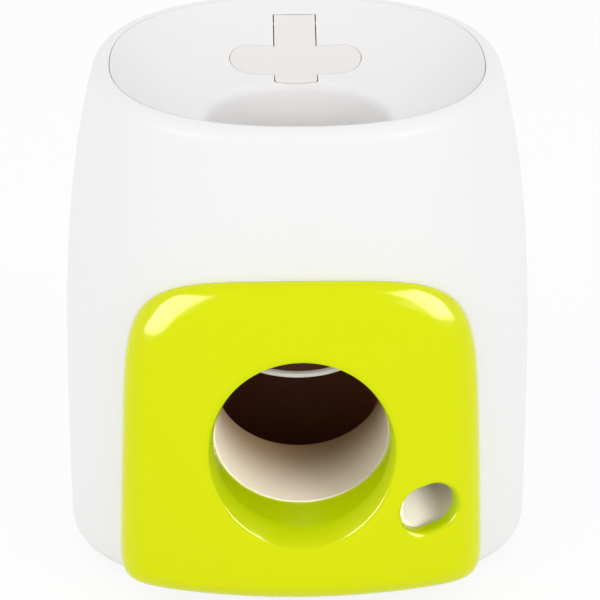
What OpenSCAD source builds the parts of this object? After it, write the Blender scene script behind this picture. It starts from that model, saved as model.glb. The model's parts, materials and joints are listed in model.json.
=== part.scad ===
// Gravity-fed ball dispenser for pets.
// A ball dropped into the top dish falls on a paddle, the paddle turns a metering drum
// through a sector gear, a treat slides out of the small hole and the ball rolls out of the large one.
// Millimetres. +Z is up, the front faces -Y, and the origin is under the middle of the whole object.

/* [Housing] */
// Width of the shell at its widest
body_w = 223; // [218:1:236]
// Depth of the shell at its deepest
body_d = 180; // [176:1:190]
// Width of the shell at its rim
top_w = 188; // [184:1:196]
// Depth of the shell at its rim
top_d = 168; // [165:1:174]
// Height of the rim above the floor at mid depth
rim_z = 237.4; // [234:0.2:246]
// Fall of the rim towards the front, in degrees
rim_slope = 6.4; // [4:0.2:7]
// Wall of the shell
wall = 3; // [2.4:0.1:3.4]
// Rounding of the bottom edge
edge_r = 10; // [8:0.5:12]
// Rounding of the rim
roll_r = 6; // [5:0.5:6.5]
// Width of the inturned lip at the rim
lip_w = 7; // [6.8:0.2:9]
// Thickness of the lip
lip_t = 2.6; // [2:0.1:3]
// Height of the feet under the base
foot_h = 4; // [3:0.5:5]
// Diameter of a foot
foot_d = 16; // [12:1:18]

/* [Top dish] */
// Depth of the dish below the rim
dish_depth = 20; // [18:1:22]
// Thickness of the dish
dish_t = 2.5; // [2:0.1:3]
// Radius of the throat under its rounded edge
throat_r = 42; // [41.5:0.1:43]
// Distance of the ball column in front of the middle
throat_y = 22; // [20:1:24]
// Depth of the rounded edge of the throat
throat_roll = 4; // [3:0.5:5]
// Height of the lower end of the throat
throat_z = 196; // [194:1:199]

/* [Hatch] */
// Length of the hatch across the dish
hatch_w = 64; // [60:1:66]
// Width of the hatch from front to back
hatch_d = 26; // [24:1:27]
// Distance of the hatch behind the middle
hatch_y = 39.5; // [39:0.5:40]
// Width of the finger tab and hinge tab
tab_w = 20; // [16:1:22]
// Distance of the hinge behind the middle
hinge_y = 66; // [64:1:66]
// Distance of the finger tab's end behind the middle
tab_y = 21.8; // [21.5:0.1:22.5]
// Diameter of the hinge pin
hinge_d = 2.6; // [2:0.2:3]
// Radius of the hinge barrel
barrel_r = 3; // [2.8:0.1:3.2]
// Gap around the hatch
hatch_gap = 0.5; // [0.4:0.1:0.6]

/* [Front panel] */
// Half width of the panel at its lower end
panel_low = 84.3; // [82.3:0.5:85.3]
// Half width of the panel at its upper end
panel_high = 78.3; // [76.3:0.5:79.3]
// Height of the panel
panel_h = 150.7; // [149.2:0.5:151.7]
// Height of the panel's middle
panel_z = 85.5; // [85:0.1:86.5]
// Distance of the panel's face in front of the shell
panel_proud = 18.3; // [17:0.1:20]
// Lean of the panel's face, in degrees
panel_lean = 5.5; // [5:0.5:6]
// Bulge of the face across its width
panel_bulge = 16; // [14:1:17]
// Bulge of the face over its height
panel_crown = 4; // [3:0.5:5]
// Rounding of the panel's edge
panel_roll = 13; // [11:1:14]
// Bow of the panel's upper edge
panel_bow = 4.7; // [3:0.1:6]
// Squareness of the panel's lower corners
square_foot = 15; // [12:0.5:16]
// Squareness of the panel's upper corners
square_head = 4.6; // [4:0.2:6]
// Wall of the panel
panel_t = 2.6; // [2.2:0.1:3]

/* [Ball path] */
// Inner diameter of the outlet tube
outlet_d = 78; // [76:0.5:78]
// Inner diameter of the column that the ball falls through
column_d = 80; // [79:0.5:81]
// Wall of the tubes
tube_t = 2; // [1.6:0.1:2.2]
// Slope of the outlet tube, in degrees
outlet_slope = 11.8; // [11:0.2:12.4]
// Height of the outlet's axis at the panel
outlet_z = 84.5; // [83.5:0.5:85.5]
// Distance of the tube's front end in front of the shell
outlet_proud = 1; // [0.5:0.1:2]
// Distance of the tube's lower rear end in front of the middle
outlet_rear = 40; // [38:1:43]
// Rounding of the outlet's edge
outlet_round = 4; // [3:0.2:4.6]
// Height of the chamber's upper end
chamber_z = 152; // [150:1:156]
// Wall of the chamber and the drop tube
column_t = 2.5; // [2.1:0.1:2.7]
// Height of a socket collar
collar_h = 8; // [6:1:10]

/* [Paddle] */
// Height of the paddle's pivot
pivot_z = 104; // [103:0.5:105]
// Reach of the paddle from its pivot
paddle_reach = 57; // [55:0.5:58]
// Width of the paddle's pad
paddle_w = 46; // [42:1:46]
// Width of the paddle's neck
neck_w = 28; // [26:1:30]
// Thickness of the paddle
paddle_t = 2.6; // [2.2:0.2:3]
// Radius of the paddle's front edge
paddle_r = 42; // [38:1:46]
// Width of the soft lip on the paddle
soft_lip_w = 2.5; // [2:0.1:3]
// Fall of the paddle at rest, in degrees
paddle_rest = 16; // [15:1:17]
// Travel of the paddle, in degrees
paddle_travel = 30; // [30]
// Diameter of the counterweight
weight_d = 12; // [10:1:13]
// Length of the counterweight
weight_l = 36; // [32:1:40]
// Distance of the counterweight behind the pivot
weight_y = 28; // [26:1:29]
// Diameter of the paddle shaft and the drum shaft
shaft_d = 5; // [4:0.5:6]

/* [Gears] */
// Module of the teeth
gear_m = 1.5; // [1.5]
// Teeth of the whole circle that the sector belongs to
sector_n = 60; // [60]
// Teeth of the pinion
pinion_n = 12; // [12]
// Pressure angle in degrees
gear_angle = 25; // [25]
// Face width of the sector
sector_w = 5; // [4:0.5:5]
// Play between the teeth
gear_play = 0.24; // [0.2:0.02:0.3]

/* [Treat path] */
// Diameter of the metering drum
drum_d = 30; // [28:1:32]
// Length of the metering drum
drum_l = 19; // [17:0.5:20]
// Width of the drum's pocket
pocket_w = 13; // [11:0.5:14]
// Depth of the drum's pocket
pocket_h = 10; // [8:0.5:11]
// Wall of the hopper
hopper_t = 2; // [1.6:0.1:2.2]
// Left end of the hopper
hopper_left = 38; // [36:1:40]
// Fall of the hopper's floor, in degrees
hopper_fall = 18; // [16:1:19]
// Inner diameter of the treat chute
chute_d = 24; // [22:0.5:25]
// Width of the treat hole in the panel
treat_w = 27; // [26:0.5:28]
// Height of the treat hole's opening
treat_h = 22; // [21:0.5:23]
// Tilt of the treat hole, in degrees
treat_tilt = 15; // [10:1:20]
// Height of the treat hole above the floor
treat_z = 54.7; // [54.2:0.1:55.7]

/* [Frame and fasteners] */
// Distance of the frame's side plates from the middle
plate_x = 33; // [32:0.5:33]
// Thickness of the side plates
plate_t = 3; // [2.4:0.2:3.2]
// Thickness of the base plate
base_t = 3; // [2.6:0.2:4]
// Diameter of a screw's shank
screw_d = 3; // [2.6:0.2:3.4]
// Diameter of a screw's head
head_d = 6; // [5:0.2:6.4]
// Height of a screw's head
head_h = 2.2; // [1.8:0.2:2.4]

/* [Clearances] */
// Gap between pieces that are set against each other
seat_gap = 0.3; // [0.2:0.05:0.4]
// Radial play of a running fit
run_gap = 0.05; // [0.03:0.01:0.08]
// Radial play of a fixed fit
fix_gap = 0.02; // [0.01:0.01:0.03]
// Room between moving pieces
move_gap = 0.4; // [0.3:0.05:0.6]

/* [Hidden] */
$fn = 48;

// Colours
white = "#f2f2f1";
lime = "#dfe600";
dark = "#2a1a12";
grey = "#9a9a98";
steel = "#b8bcc0";
black = "#202020";

// Points in each ring of the shell and the dish, and of the panel
ring_n = 72;
panel_n = 88;
// Steps in a rounded edge, and in the side of the shell
round_steps = 4;
wall_steps = 9;
// Room past a face for a clean cut
eps = 0.5;

// Shell: how late its sides draw in, and how square it is at the bottom and at the rim
side_power = 3.87;
square_low = 2.5;
square_high = 2.3;
lip_fall = 0.4;
lip_foot = 1.5;
lip_blend = 2;
base_z = foot_h;
rim_h = rim_z - base_z;
base_top = base_z + base_t;

function half_w(s) = (top_w + (body_w - top_w) * (1 - pow(s, side_power))) / 2;
function half_d(s) = (top_d + (body_d - top_d) * (1 - pow(s, side_power))) / 2;
function square_at(s) = square_low + (square_high - square_low) * s;
function rim_plane(y) = rim_z + y * tan(rim_slope);
function mix(a, b, t) = a + (b - a) * t;

// Point of a squarish oval at a given angle about its middle
function oval_pt(angle, a, b, n) =
    let (r = pow(pow(abs(cos(angle)) / a, n) + pow(abs(sin(angle)) / b, n), -1 / n))
    [r * cos(angle), r * sin(angle)];

// Ring of the shell at a share of its height, set in from its outer wall and dropped
function shell_ring(s, inset, drop = 0) = [
    for (i = [0 : ring_n - 1])
        let (p = oval_pt(360 * i / ring_n, half_w(s) - inset, half_d(s) - inset, square_at(s)))
        [p.x, p.y, base_z + s * (rim_plane(p.y) - base_z) - drop]
];

// Share of the height at a height, near the front or the side wall
function share_at(z, y) = (z - base_z) / (rim_plane(y) - base_z);

// Depth of the shell's front wall at a place, and its reach to the side
function shell_front(x, z) =
    let (s = share_at(z, -body_d / 2), n = square_at(s))
    -half_d(s) * pow(1 - pow(abs(x) / half_w(s), n), 1 / n);
function shell_side(y, z) =
    let (s = share_at(z, y), n = square_at(s))
    half_w(s) * pow(1 - pow(abs(y) / half_d(s), n), 1 / n);

// Skin of triangles over closed rings, with the last ring joined to the first
module ring_skin(rings) {
    m = len(rings);
    n = len(rings[0]);
    polyhedron(
        points = [for (ring = rings) each ring],
        faces = [
            for (r = [0 : m - 1], i = [0 : n - 1])
                let (a = r * n, b = (r + 1) % m * n, j = (i + 1) % n)
                each [[a + i, b + i, b + j], [a + i, b + j, a + j]]
        ]
    );
}

// Round bar along X, a slab cut in Y and Z, and a slab cut in X and Z
module bar_x(x0, x1, r) {
    translate([x0, 0, 0])
        rotate([0, 90, 0])
            cylinder(h = x1 - x0, r = r);
}
module slab_yz(x0, x1) {
    translate([x0, 0, 0])
        rotate([90, 0, 90])
            linear_extrude(x1 - x0)
                children();
}
module slab_xz(y0, y1) {
    translate([0, y1, 0])
        rotate([90, 0, 0])
            linear_extrude(y1 - y0)
                children();
}
module ring_x(x0, x1, outer, inner) {
    difference() {
        bar_x(x0, x1, outer);
        bar_x(x0 - eps, x1 + eps, inner);
    }
}

// Pan-head screw, with its head above the origin and its shank below
module screw(length) {
    difference() {
        union() {
            cylinder(h = head_h, d = head_d);
            translate([0, 0, -length])
                cylinder(h = length, d = screw_d);
        }
        for (turn = [0, 90])
            rotate([0, 0, turn])
                translate([-head_d / 4, -head_d / 16, head_h / 2])
                    cube([head_d / 2, head_d / 8, head_h]);
    }
}
screw_hole_r = screw_d / 2 + seat_gap / 2;
thread_r = screw_d / 2 + fix_gap;

// The ball column
column_r = column_d / 2;
spigot_r = column_r + column_t;
socket_r = spigot_r + seat_gap;
collar_r = socket_r + column_t;
column_y = -throat_y;
column_rear = column_y + spigot_r;

// Tube of the ball column with a socket for the piece above it
module socket_tube(z0, z1) {
    translate([0, column_y, 0])
        difference() {
            union() {
                translate([0, 0, z0])
                    cylinder(h = z1 - z0, r = spigot_r, $fn = 96);
                translate([0, 0, z1 - collar_h / 2])
                    cylinder(h = collar_h, r = collar_r, $fn = 96);
            }
            translate([0, 0, z0 - eps])
                cylinder(h = z1 - z0 + collar_h, r = column_r, $fn = 96);
            translate([0, 0, z1])
                cylinder(h = collar_h, r = socket_r, $fn = 96);
        }
}

// The outlet tube lies along its own axis, which rises to the rear
outlet_r = outlet_d / 2;
outlet_out = outlet_r + tube_t;
panel_y = body_d / 2 + panel_proud;
outlet_front = body_d / 2 + outlet_proud;
module on_outlet_axis() {
    translate([0, -panel_y, outlet_z])
        rotate([outlet_slope - 90, 0, 0])
            children();
}
function outlet_axis_z(y) = outlet_z + (y + panel_y) * tan(outlet_slope);
outlet_start = (panel_y - outlet_front) / cos(outlet_slope);

// Paddle and gears
hub_t = 2.5;
path_gap = 1.5;
hub_r = shaft_d / 2 + hub_t;
pivot_y = column_rear + hub_r + move_gap;
pitch_gap = gear_m * (sector_n + pinion_n) / 2;
drum_r = drum_d / 2;
drum_room = drum_r + move_gap;
house_r = drum_room + hopper_t;
hopper_front = column_y + collar_r + path_gap;
drum_y = hopper_front + house_r + hopper_t + path_gap;
drum_z = pivot_z + sqrt(pow(pitch_gap, 2) - pow(drum_y - pivot_y, 2));
mesh_angle = atan2(drum_z - pivot_z, drum_y - pivot_y);
weight_rest = [pivot_y + weight_y * cos(paddle_rest), pivot_z + weight_y * sin(paddle_rest)];
eye_t = 2;
eye_r = weight_d / 2 + eye_t;
flange_t = 1;
plate_in = plate_x - plate_t / 2;
plate_out = plate_x + plate_t / 2;
gear_x = plate_out + flange_t + path_gap;
bush_t = 2;
bush_r = shaft_d / 2 + bush_t;
flange_w = 1.5;
clip_w = 1.8;
clip_t = 0.8;

// Treat path
chute_r = chute_d / 2;
chute_out = chute_r + tube_t;
treat_x = spigot_r + chute_out + path_gap;
drum_x0 = treat_x - drum_l / 2;
drum_x1 = treat_x + drum_l / 2;
house_x0 = drum_x0 - move_gap - hopper_t;
house_x1 = drum_x1 + move_gap;
house_top = drum_z + house_r;
hopper_rear = drum_y + house_r + path_gap / 2;
mouth_drop = 5;
hopper_top = rim_plane(hopper_front) - dish_depth - dish_t - mouth_drop;
mouth_rise = 0.25;
spout_r = drum_l / 2 + move_gap - hopper_t;
spout_h = 9;
spout_end = drum_z - house_r - spout_h;
spout_room = spout_r + hopper_t + seat_gap;
chute_drop = 4;
chute_top_z = spout_end - chute_drop;
function floor_z(x) = house_top + (house_x0 - x) * tan(hopper_fall);

// Panel: its face, its outline at an inset, and the direction square to its face
panel_mid = (panel_low + panel_high) / 2;
panel_taper = (panel_high - panel_low) / 2 / panel_mid;
corner_pull = 31;
function face_y(x, z) =
    -panel_y + (z - panel_z) * tan(panel_lean)
    + panel_bulge * pow(x / panel_mid, 2) + panel_crown * pow((z - panel_z) / (panel_h / 2), 2);
function panel_angle(i) = 360 * i / panel_n + corner_pull / 4 * sin(4 * 360 * i / panel_n);
function panel_pt(i, inset) =
    let (angle = panel_angle(i), square = sin(angle) < 0 ? square_foot : square_head)
    let (p = oval_pt(angle, panel_mid - inset, panel_h / 2 - inset, square))
    let (rise = p.y / (panel_h / 2), bow = panel_bow * pow(p.x / panel_mid, 2) * max(0, rise))
    [p.x * (1 + panel_taper * rise), panel_z + p.y - bow];
treat_pt = [treat_x, face_y(treat_x, treat_z), treat_z];
face_step = 0.1;
treat_dir = [
    (face_y(treat_x + face_step, treat_z) - face_y(treat_x - face_step, treat_z)) / (2 * face_step),
    -1,
    (face_y(treat_x, treat_z + face_step) - face_y(treat_x, treat_z - face_step)) / (2 * face_step)
];
treat_collar = 8;
treat_out = treat_dir / norm(treat_dir);
chute_y = treat_pt.y - (treat_collar + seat_gap) * treat_out.y;
chute_z = treat_z - (treat_collar + seat_gap) * treat_out.z;
chute_slope = atan2(chute_top_z - chute_z, drum_y - chute_y);

// Places of fasteners
panel_screw_in = [17, 25];
panel_screw_x = panel_mid - panel_screw_in.x;
panel_screw_z = panel_h / 2 - panel_screw_in.y;
panel_screw_at = [for (sx = [-1, 1], sz = [-1, 1]) [sx * panel_screw_x, panel_z + sz * panel_screw_z]];
base_screw_in = 38;
base_screw_x = body_w / 2 - base_screw_in;
base_screw_at = [for (sx = [-1, 1], sy = [-1, 1]) [sx * base_screw_x, sy * body_d / 4]];
post_r = 5;
post_top = 28;
base_boss_h = 2;
post_low = base_top + base_boss_h + seat_gap;

// Housing shell: outer skin up to the rim, the lip, and the inner skin down again
inner_top = 1 - (lip_t + lip_fall + lip_blend) / rim_h;
shell_rings = concat(
    [
        for (k = [0 : round_steps])
            let (q = 90 * k / round_steps)
            shell_ring(edge_r * (1 - cos(q)) / rim_h, edge_r * (1 - sin(q)))
    ],
    [
        for (k = [1 : wall_steps - 1])
            shell_ring(mix(edge_r, rim_h - roll_r, k / wall_steps) / rim_h, 0)
    ],
    [
        for (k = [0 : round_steps])
            let (q = 90 * k / round_steps)
            shell_ring(1 - roll_r * (1 - sin(q)) / rim_h, roll_r * (1 - cos(q)))
    ],
    [
        shell_ring(1, lip_w, lip_fall),
        shell_ring(1, lip_w, lip_fall + lip_t),
        shell_ring(1, wall + lip_foot, lip_fall + lip_t)
    ],
    [
        for (k = [wall_steps : -1 : 1])
            shell_ring(mix(edge_r / rim_h, inner_top, k / wall_steps), wall)
    ],
    [
        for (k = [round_steps : -1 : 0])
            let (q = 90 * k / round_steps, r = edge_r - wall)
            shell_ring((edge_r - r * cos(q)) / rim_h, edge_r - r * sin(q))
    ]
);

// Screw post inside the shell, tied to the wall by a rib
module shell_post(at) {
    side = sign(at.x);
    reach = shell_side(at.y, post_top) - wall / 2 - abs(at.x);
    translate([at.x, at.y, post_low]) {
        cylinder(h = post_top - post_low, r = post_r);
        translate([side > 0 ? 0 : -reach, -wall / 2, 0])
            cube([reach, wall, post_top - post_low]);
    }
}

// Seat inside the shell's front wall for a panel screw
pad_back = 2.4;
pad_h = 4;
pad_rim = 1.5;
module panel_pad(at) {
    translate([at.x, shell_front(at.x, at.y) + pad_back, at.y])
        rotate([-90, 0, 0])
            cylinder(h = pad_h, r = head_d / 2 + pad_rim);
}

module outer_shell() {
    color(white)
        difference() {
            union() {
                ring_skin(shell_rings);
                for (at = base_screw_at)
                    shell_post(at);
                for (at = panel_screw_at)
                    panel_pad(at);
            }
            on_outlet_axis()
                cylinder(h = panel_y - outlet_rear, r = hole_out + seat_gap, $fn = 96);
            on_chute_axis()
                cylinder(h = panel_y / 2, r = chute_out + seat_gap);
            for (at = base_screw_at)
                translate([at.x, at.y, post_low - eps])
                    cylinder(h = post_top - post_low - 2, r = thread_r);
            for (at = panel_screw_at)
                translate([at.x, shell_front(at.x, at.y) - 2 * wall, at.y])
                    rotate([-90, 0, 0])
                        cylinder(h = 4 * wall + pad_h, r = screw_hole_r);
        }
}

// Top dish: its upper skin from the rim to the throat, and its lower skin back to the flange
dish_power = 1.7;
roll_from = 0.9;
dish_inset = lip_w + seat_gap;
flange_room = 2.2;
flange_in = wall + flange_room;
spigot_rise = 2;
spigot_h = collar_h / 2 + spigot_rise;
dish_steps = [0, 0.05, 0.12, 0.21, 0.32, 0.45, 0.6, 0.76, 0.9, 0.95, 0.985, 1];
under_steps = [1, 0.94, 0.8, 0.62, 0.44, 0.28, 0.1];
function dish_bowl(u) = dish_depth * (1 - pow(1 - u, dish_power));
function dish_roll(u) =
    let (q = max(0, (u - roll_from) / (1 - roll_from)))
    throat_roll * (1 - sqrt(1 - min(1, q * q)));
function dish_ring(u, drop, grow = 0) = [
    for (i = [0 : ring_n - 1])
        let (
            angle = 360 * i / ring_n,
            rim = oval_pt(angle, half_w(1) - dish_inset, half_d(1) - dish_inset, square_high),
            edge = [0, column_y] + (throat_r + grow) * [cos(angle), sin(angle)],
            p = mix(rim, edge, u)
        )
        [p.x, p.y, rim_plane(p.y) - drop]
];
function throat_ring(r, z) = [
    for (i = [0 : ring_n - 1])
        let (angle = 360 * i / ring_n)
        [r * cos(angle), column_y + r * sin(angle), z]
];
dish_rings = concat(
    [for (u = dish_steps) dish_ring(u, lip_fall + dish_bowl(u) + dish_roll(u))],
    [
        throat_ring(column_r, throat_z),
        throat_ring(spigot_r, throat_z),
        throat_ring(spigot_r, throat_z + spigot_h)
    ],
    [for (u = under_steps) dish_ring(u, lip_fall + dish_bowl(u) + dish_t, dish_t)],
    [
        shell_ring(1, flange_in, lip_fall + lip_t + seat_gap + 2),
        shell_ring(1, flange_in, lip_fall + lip_t + seat_gap),
        shell_ring(1, dish_inset, lip_fall + lip_t + seat_gap)
    ]
);

// Hatch: where its hinge lies under the dish, and its outline grown by a gap
dish_back = half_d(1) - dish_inset;
dish_run = dish_back - column_y - throat_r;
hinge_u = (dish_back - hinge_y) / dish_run;
hinge_lean = atan(tan(rim_slope) + dish_depth * dish_power * pow(1 - hinge_u, dish_power - 1) / dish_run);
hinge_z = rim_plane(hinge_y) - lip_fall - dish_bowl(hinge_u) - barrel_r / cos(hinge_lean);
ear_w = 4.5;
lid_end = hinge_y - barrel_r * sin(hinge_lean);
cut_end = hinge_y + barrel_r + hatch_gap;
module hatch_outline(grow, end) {
    r = hatch_d / 2;
    for (side = [-1, 1])
        translate([side * (hatch_w / 2 - r), hatch_y])
            circle(r = r + grow);
    translate([r - hatch_w / 2, hatch_y - r - grow])
        square([hatch_w - 2 * r, 2 * (r + grow)]);
    translate([-tab_w / 2 - grow, tab_y - grow])
        square([tab_w + 2 * grow, end - tab_y + grow]);
}
module hatch_cut(grow, end) {
    translate([0, 0, throat_z])
        linear_extrude(rim_z)
            hatch_outline(grow, end);
}
module on_hinge() {
    translate([0, hinge_y, hinge_z])
        children();
}

module top_funnel() {
    color(white)
        difference() {
            union() {
                difference() {
                    ring_skin(dish_rings);
                    hatch_cut(hatch_gap, cut_end);
                }
                for (side = [-1, 1])
                    on_hinge()
                        translate([side * (tab_w / 2 + hatch_gap + ear_w / 2) - ear_w / 2, 0, 0])
                            bar_x(0, ear_w, barrel_r);
            }
            on_hinge()
                bar_x(-tab_w / 2 - hatch_gap, tab_w / 2 + hatch_gap, barrel_r + hatch_gap);
            on_hinge()
                bar_x(-tab_w, tab_w, hinge_d / 2 + fix_gap);
        }
}

module hatch_lid() {
    color(white)
        difference() {
            union() {
                intersection() {
                    ring_skin(dish_rings);
                    hatch_cut(0, lid_end);
                }
                on_hinge()
                    bar_x(-tab_w / 2, tab_w / 2, barrel_r);
            }
            on_hinge()
                bar_x(-tab_w, tab_w, hinge_d / 2 + run_gap);
        }
}

module hatch_hinge_pin() {
    color(steel)
        on_hinge()
            bar_x(-tab_w / 2 - hatch_gap - ear_w, tab_w / 2 + hatch_gap + ear_w, hinge_d / 2);
}

// Front panel: back edge on the shell, rounded edge, face, outlet edge and collar, then its inner skin
edge_steps = 5;
mouth_step = 0.8;
hole_r = outlet_r + mouth_step;
hole_out = hole_r + panel_t;
side_min = 0.8;
face_tries = 5;
face_shares = [0.25, 0.5, 0.75];
function back_ring(inset) = [
    for (i = [0 : panel_n - 1])
        let (p = panel_pt(i, inset))
        [p.x, shell_front(p.x, p.y) - seat_gap, p.y]
];
function roll_depth(p) =
    min(panel_roll, shell_front(p.x, p.y) - seat_gap - face_y(p.x, p.y) - side_min);
function edge_ring(q, skin) = [
    for (i = [0 : panel_n - 1])
        let (
            p = panel_pt(i, skin + (panel_roll - skin) * (1 - sin(q))),
            depth = roll_depth(panel_pt(i, 0))
        )
        [p.x, face_y(p.x, p.y) + skin + (depth - skin) * (1 - cos(q)), p.y]
];
function axis_pt(x, up, along) = [
    x,
    -panel_y + along * cos(outlet_slope) - up * sin(outlet_slope),
    outlet_z + along * sin(outlet_slope) + up * cos(outlet_slope)
];
function face_along(x, up, along, tries) =
    let (z = axis_pt(x, up, along).z)
    let (next = (face_y(x, z) + panel_y + up * sin(outlet_slope)) / cos(outlet_slope))
    tries == 0 ? next : face_along(x, up, next, tries - 1);
function hole_pt(i, r, depth = 0) =
    let (x = r * cos(panel_angle(i)), up = r * sin(panel_angle(i)))
    axis_pt(x, up, face_along(x, up, 0, face_tries) + depth);
function face_ring(t, r, skin) = [
    for (i = [0 : panel_n - 1])
        let (hole = hole_pt(i, r), p = mix(panel_pt(i, panel_roll), [hole.x, hole.z], t))
        [p.x, face_y(p.x, p.y) + skin, p.y]
];
function hole_ring(r, depth) = [for (i = [0 : panel_n - 1]) hole_pt(i, r, depth)];
function collar_ring(r) = [
    for (i = [0 : panel_n - 1])
        axis_pt(r * cos(panel_angle(i)), r * sin(panel_angle(i)), outlet_start - seat_gap)
];
panel_rings = concat(
    [back_ring(0)],
    [for (k = [edge_steps : -1 : 0]) edge_ring(90 * k / edge_steps, 0)],
    [for (t = face_shares) face_ring(t, hole_r + outlet_round, 0)],
    [
        for (k = [0 : round_steps])
            let (q = 90 * k / round_steps)
            hole_ring(hole_r + outlet_round * (1 - sin(q)), outlet_round * (1 - cos(q)))
    ],
    [collar_ring(hole_r), collar_ring(hole_out), hole_ring(hole_out, panel_t)],
    [for (t = [0.66, 0.33]) face_ring(t, hole_out, panel_t)],
    [for (k = [0 : round_steps]) edge_ring(90 * k / round_steps, panel_t)],
    [back_ring(panel_t)]
);

// Axis of the treat hole, square to the face, and axis of the chute behind it
treat_sink = 1.6;
treat_r = treat_h / 2;
module treat_oval(h, grow) {
    away = (treat_w - treat_h) / 2;
    rotate([0, 0, 90 + treat_tilt]) {
        for (side = [-1, 1])
            translate([side * away, 0, 0])
                cylinder(h = h, r = treat_r + grow);
        translate([-away, -treat_r - grow, 0])
            cube([2 * away, 2 * (treat_r + grow), h]);
    }
}
module on_treat_axis() {
    translate(treat_pt)
        rotate([0, acos(treat_out.z), atan2(treat_out.y, treat_out.x)])
            children();
}
module on_chute_axis() {
    translate([treat_x, chute_y, chute_z])
        rotate([chute_slope - 90, 0, 0])
            children();
}
boss_r = 4;
boss_gap = 1.8;
screw_bite = 5;
module panel_boss(at, r) {
    y0 = face_y(at.x, at.y) + panel_t / 2;
    translate([at.x, y0, at.y])
        rotate([-90, 0, 0])
            cylinder(h = shell_front(at.x, at.y) - boss_gap - y0, r = r);
}

module front_panel() {
    color(lime)
        difference() {
            union() {
                ring_skin(panel_rings);
                on_treat_axis()
                    translate([0, 0, -treat_collar])
                        treat_oval(treat_collar - treat_sink, panel_t);
                for (at = panel_screw_at)
                    panel_boss(at, boss_r);
            }
            on_treat_axis()
                translate([0, 0, -treat_collar - eps])
                    treat_oval(2 * treat_collar, 0);
            for (at = panel_screw_at)
                translate([0, panel_t, 0])
                    panel_boss(at, thread_r);
        }
}

// A panel screw has its head on the pad inside the shell and its tip in the panel's boss
module panel_screws() {
    color(steel)
        for (at = panel_screw_at)
            translate([at.x, shell_front(at.x, at.y) + pad_back + pad_h, at.y])
                rotate([-90, 0, 0])
                    screw(pad_back + pad_h + boss_gap + screw_bite);
}

// Web and foot that carry a sloping tube on the base
foot_w = 22;
foot_t = 3;
web_l = head_d + 2 * seat_gap;
web_t = 3;
module tube_leg(x, y, top_at) {
    y0 = y - web_l / 2;
    y1 = y + web_l / 2;
    slab_yz(x - web_t / 2, x + web_t / 2)
        polygon([[y0, base_top], [y1, base_top], [y1, top_at[1]], [y0, top_at[0]]]);
    difference() {
        translate([x - foot_w / 2, y0, base_top])
            cube([foot_w, web_l, foot_t]);
        for (side = [-1, 1])
            translate([x + side * foot_w / 3, y, base_top - eps])
                cylinder(h = foot_t + 2 * eps, r = screw_hole_r);
    }
}
outlet_leg_y = column_y - spigot_r - web_l / 2 - seat_gap;
chute_leg_y = column_y + 28;
function chute_axis_z(y) = chute_z + (y - chute_y) * tan(chute_slope);
outlet_top_rear = column_y - spigot_r - path_gap;

cut_reach = 1.15;
module outlet_tube() {
    reach = outlet_out * cut_reach;
    color(white)
        difference() {
            union() {
                on_outlet_axis()
                    translate([0, 0, outlet_start])
                        cylinder(h = panel_y, r = outlet_out, $fn = 96);
                tube_leg(0, outlet_leg_y, [
                    for (end = [-1, 1]) outlet_axis_z(outlet_leg_y + end * web_l / 2) - outlet_r
                ]);
            }
            on_outlet_axis()
                cylinder(h = 2 * panel_y, r = outlet_r, $fn = 96);
            slab_yz(-outlet_d, outlet_d)
                polygon([
                    [-outlet_rear, outlet_axis_z(-outlet_rear) - reach],
                    [outlet_top_rear, outlet_axis_z(outlet_top_rear) + reach],
                    [body_d, outlet_axis_z(outlet_top_rear) + 2 * reach],
                    [body_d, outlet_axis_z(-outlet_rear) - reach]
                ]);
        }
}

module drop_tube() {
    color(white)
        socket_tube(chamber_z + seat_gap, throat_z - seat_gap);
}

// Chamber: sits on the base with four ears, open to the outlet, slotted for the paddle's neck
chamber_ears = [0, 180, 225, 315];
ear_at = spigot_r + 4.5;
ear_pad_r = 6;
neck_wall_y = column_y + sqrt(pow(column_r, 2) - pow(neck_w / 2, 2));
slot_low = pivot_z - (pivot_y - neck_wall_y) * tan(paddle_rest + paddle_travel) - paddle_t - 1;
slot_w = neck_w + 4 * move_gap;
module ball_chamber() {
    color(dark)
        difference() {
            union() {
                socket_tube(base_top, chamber_z);
                for (angle = chamber_ears)
                    translate([0, column_y, base_top])
                        rotate([0, 0, angle])
                            difference() {
                                translate([ear_at, 0, 0])
                                    cylinder(h = foot_t, r = ear_pad_r);
                                translate([0, 0, -eps])
                                    cylinder(h = foot_t + 2 * eps, r = (column_r + spigot_r) / 2);
                            }
            }
            on_outlet_axis()
                cylinder(h = (panel_y + column_y) / cos(outlet_slope), r = outlet_out + seat_gap, $fn = 96);
            translate([-slot_w / 2, column_y + column_r / 2, slot_low])
                cube([slot_w, column_r, pivot_z + paddle_t + 1 - slot_low]);
            for (angle = chamber_ears)
                translate([0, column_y, base_top - eps])
                    rotate([0, 0, angle])
                        translate([ear_at + 1, 0, 0])
                            cylinder(h = foot_t + 2 * eps, r = screw_hole_r);
        }
}

// Screw of a foot on the base plate
thread_end = 0.6;
foot_screw_l = foot_t + base_t - thread_end;
module foot_screw(x, y) {
    translate([x, y, base_top + foot_t])
        screw(foot_screw_l);
}
chamber_screw_at = [
    for (angle = chamber_ears)
        [0, column_y] + (ear_at + 1) * [cos(angle), sin(angle)]
];
path_screw_at = [
    for (side = [-1, 1], leg = [[0, outlet_leg_y], [treat_x, chute_leg_y]])
        [leg.x + side * foot_w / 3, leg.y]
];
module chamber_screws() {
    color(steel)
        for (at = chamber_screw_at)
            foot_screw(at.x, at.y);
}
module path_screws() {
    color(steel)
        for (at = path_screw_at)
            foot_screw(at.x, at.y);
}

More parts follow.
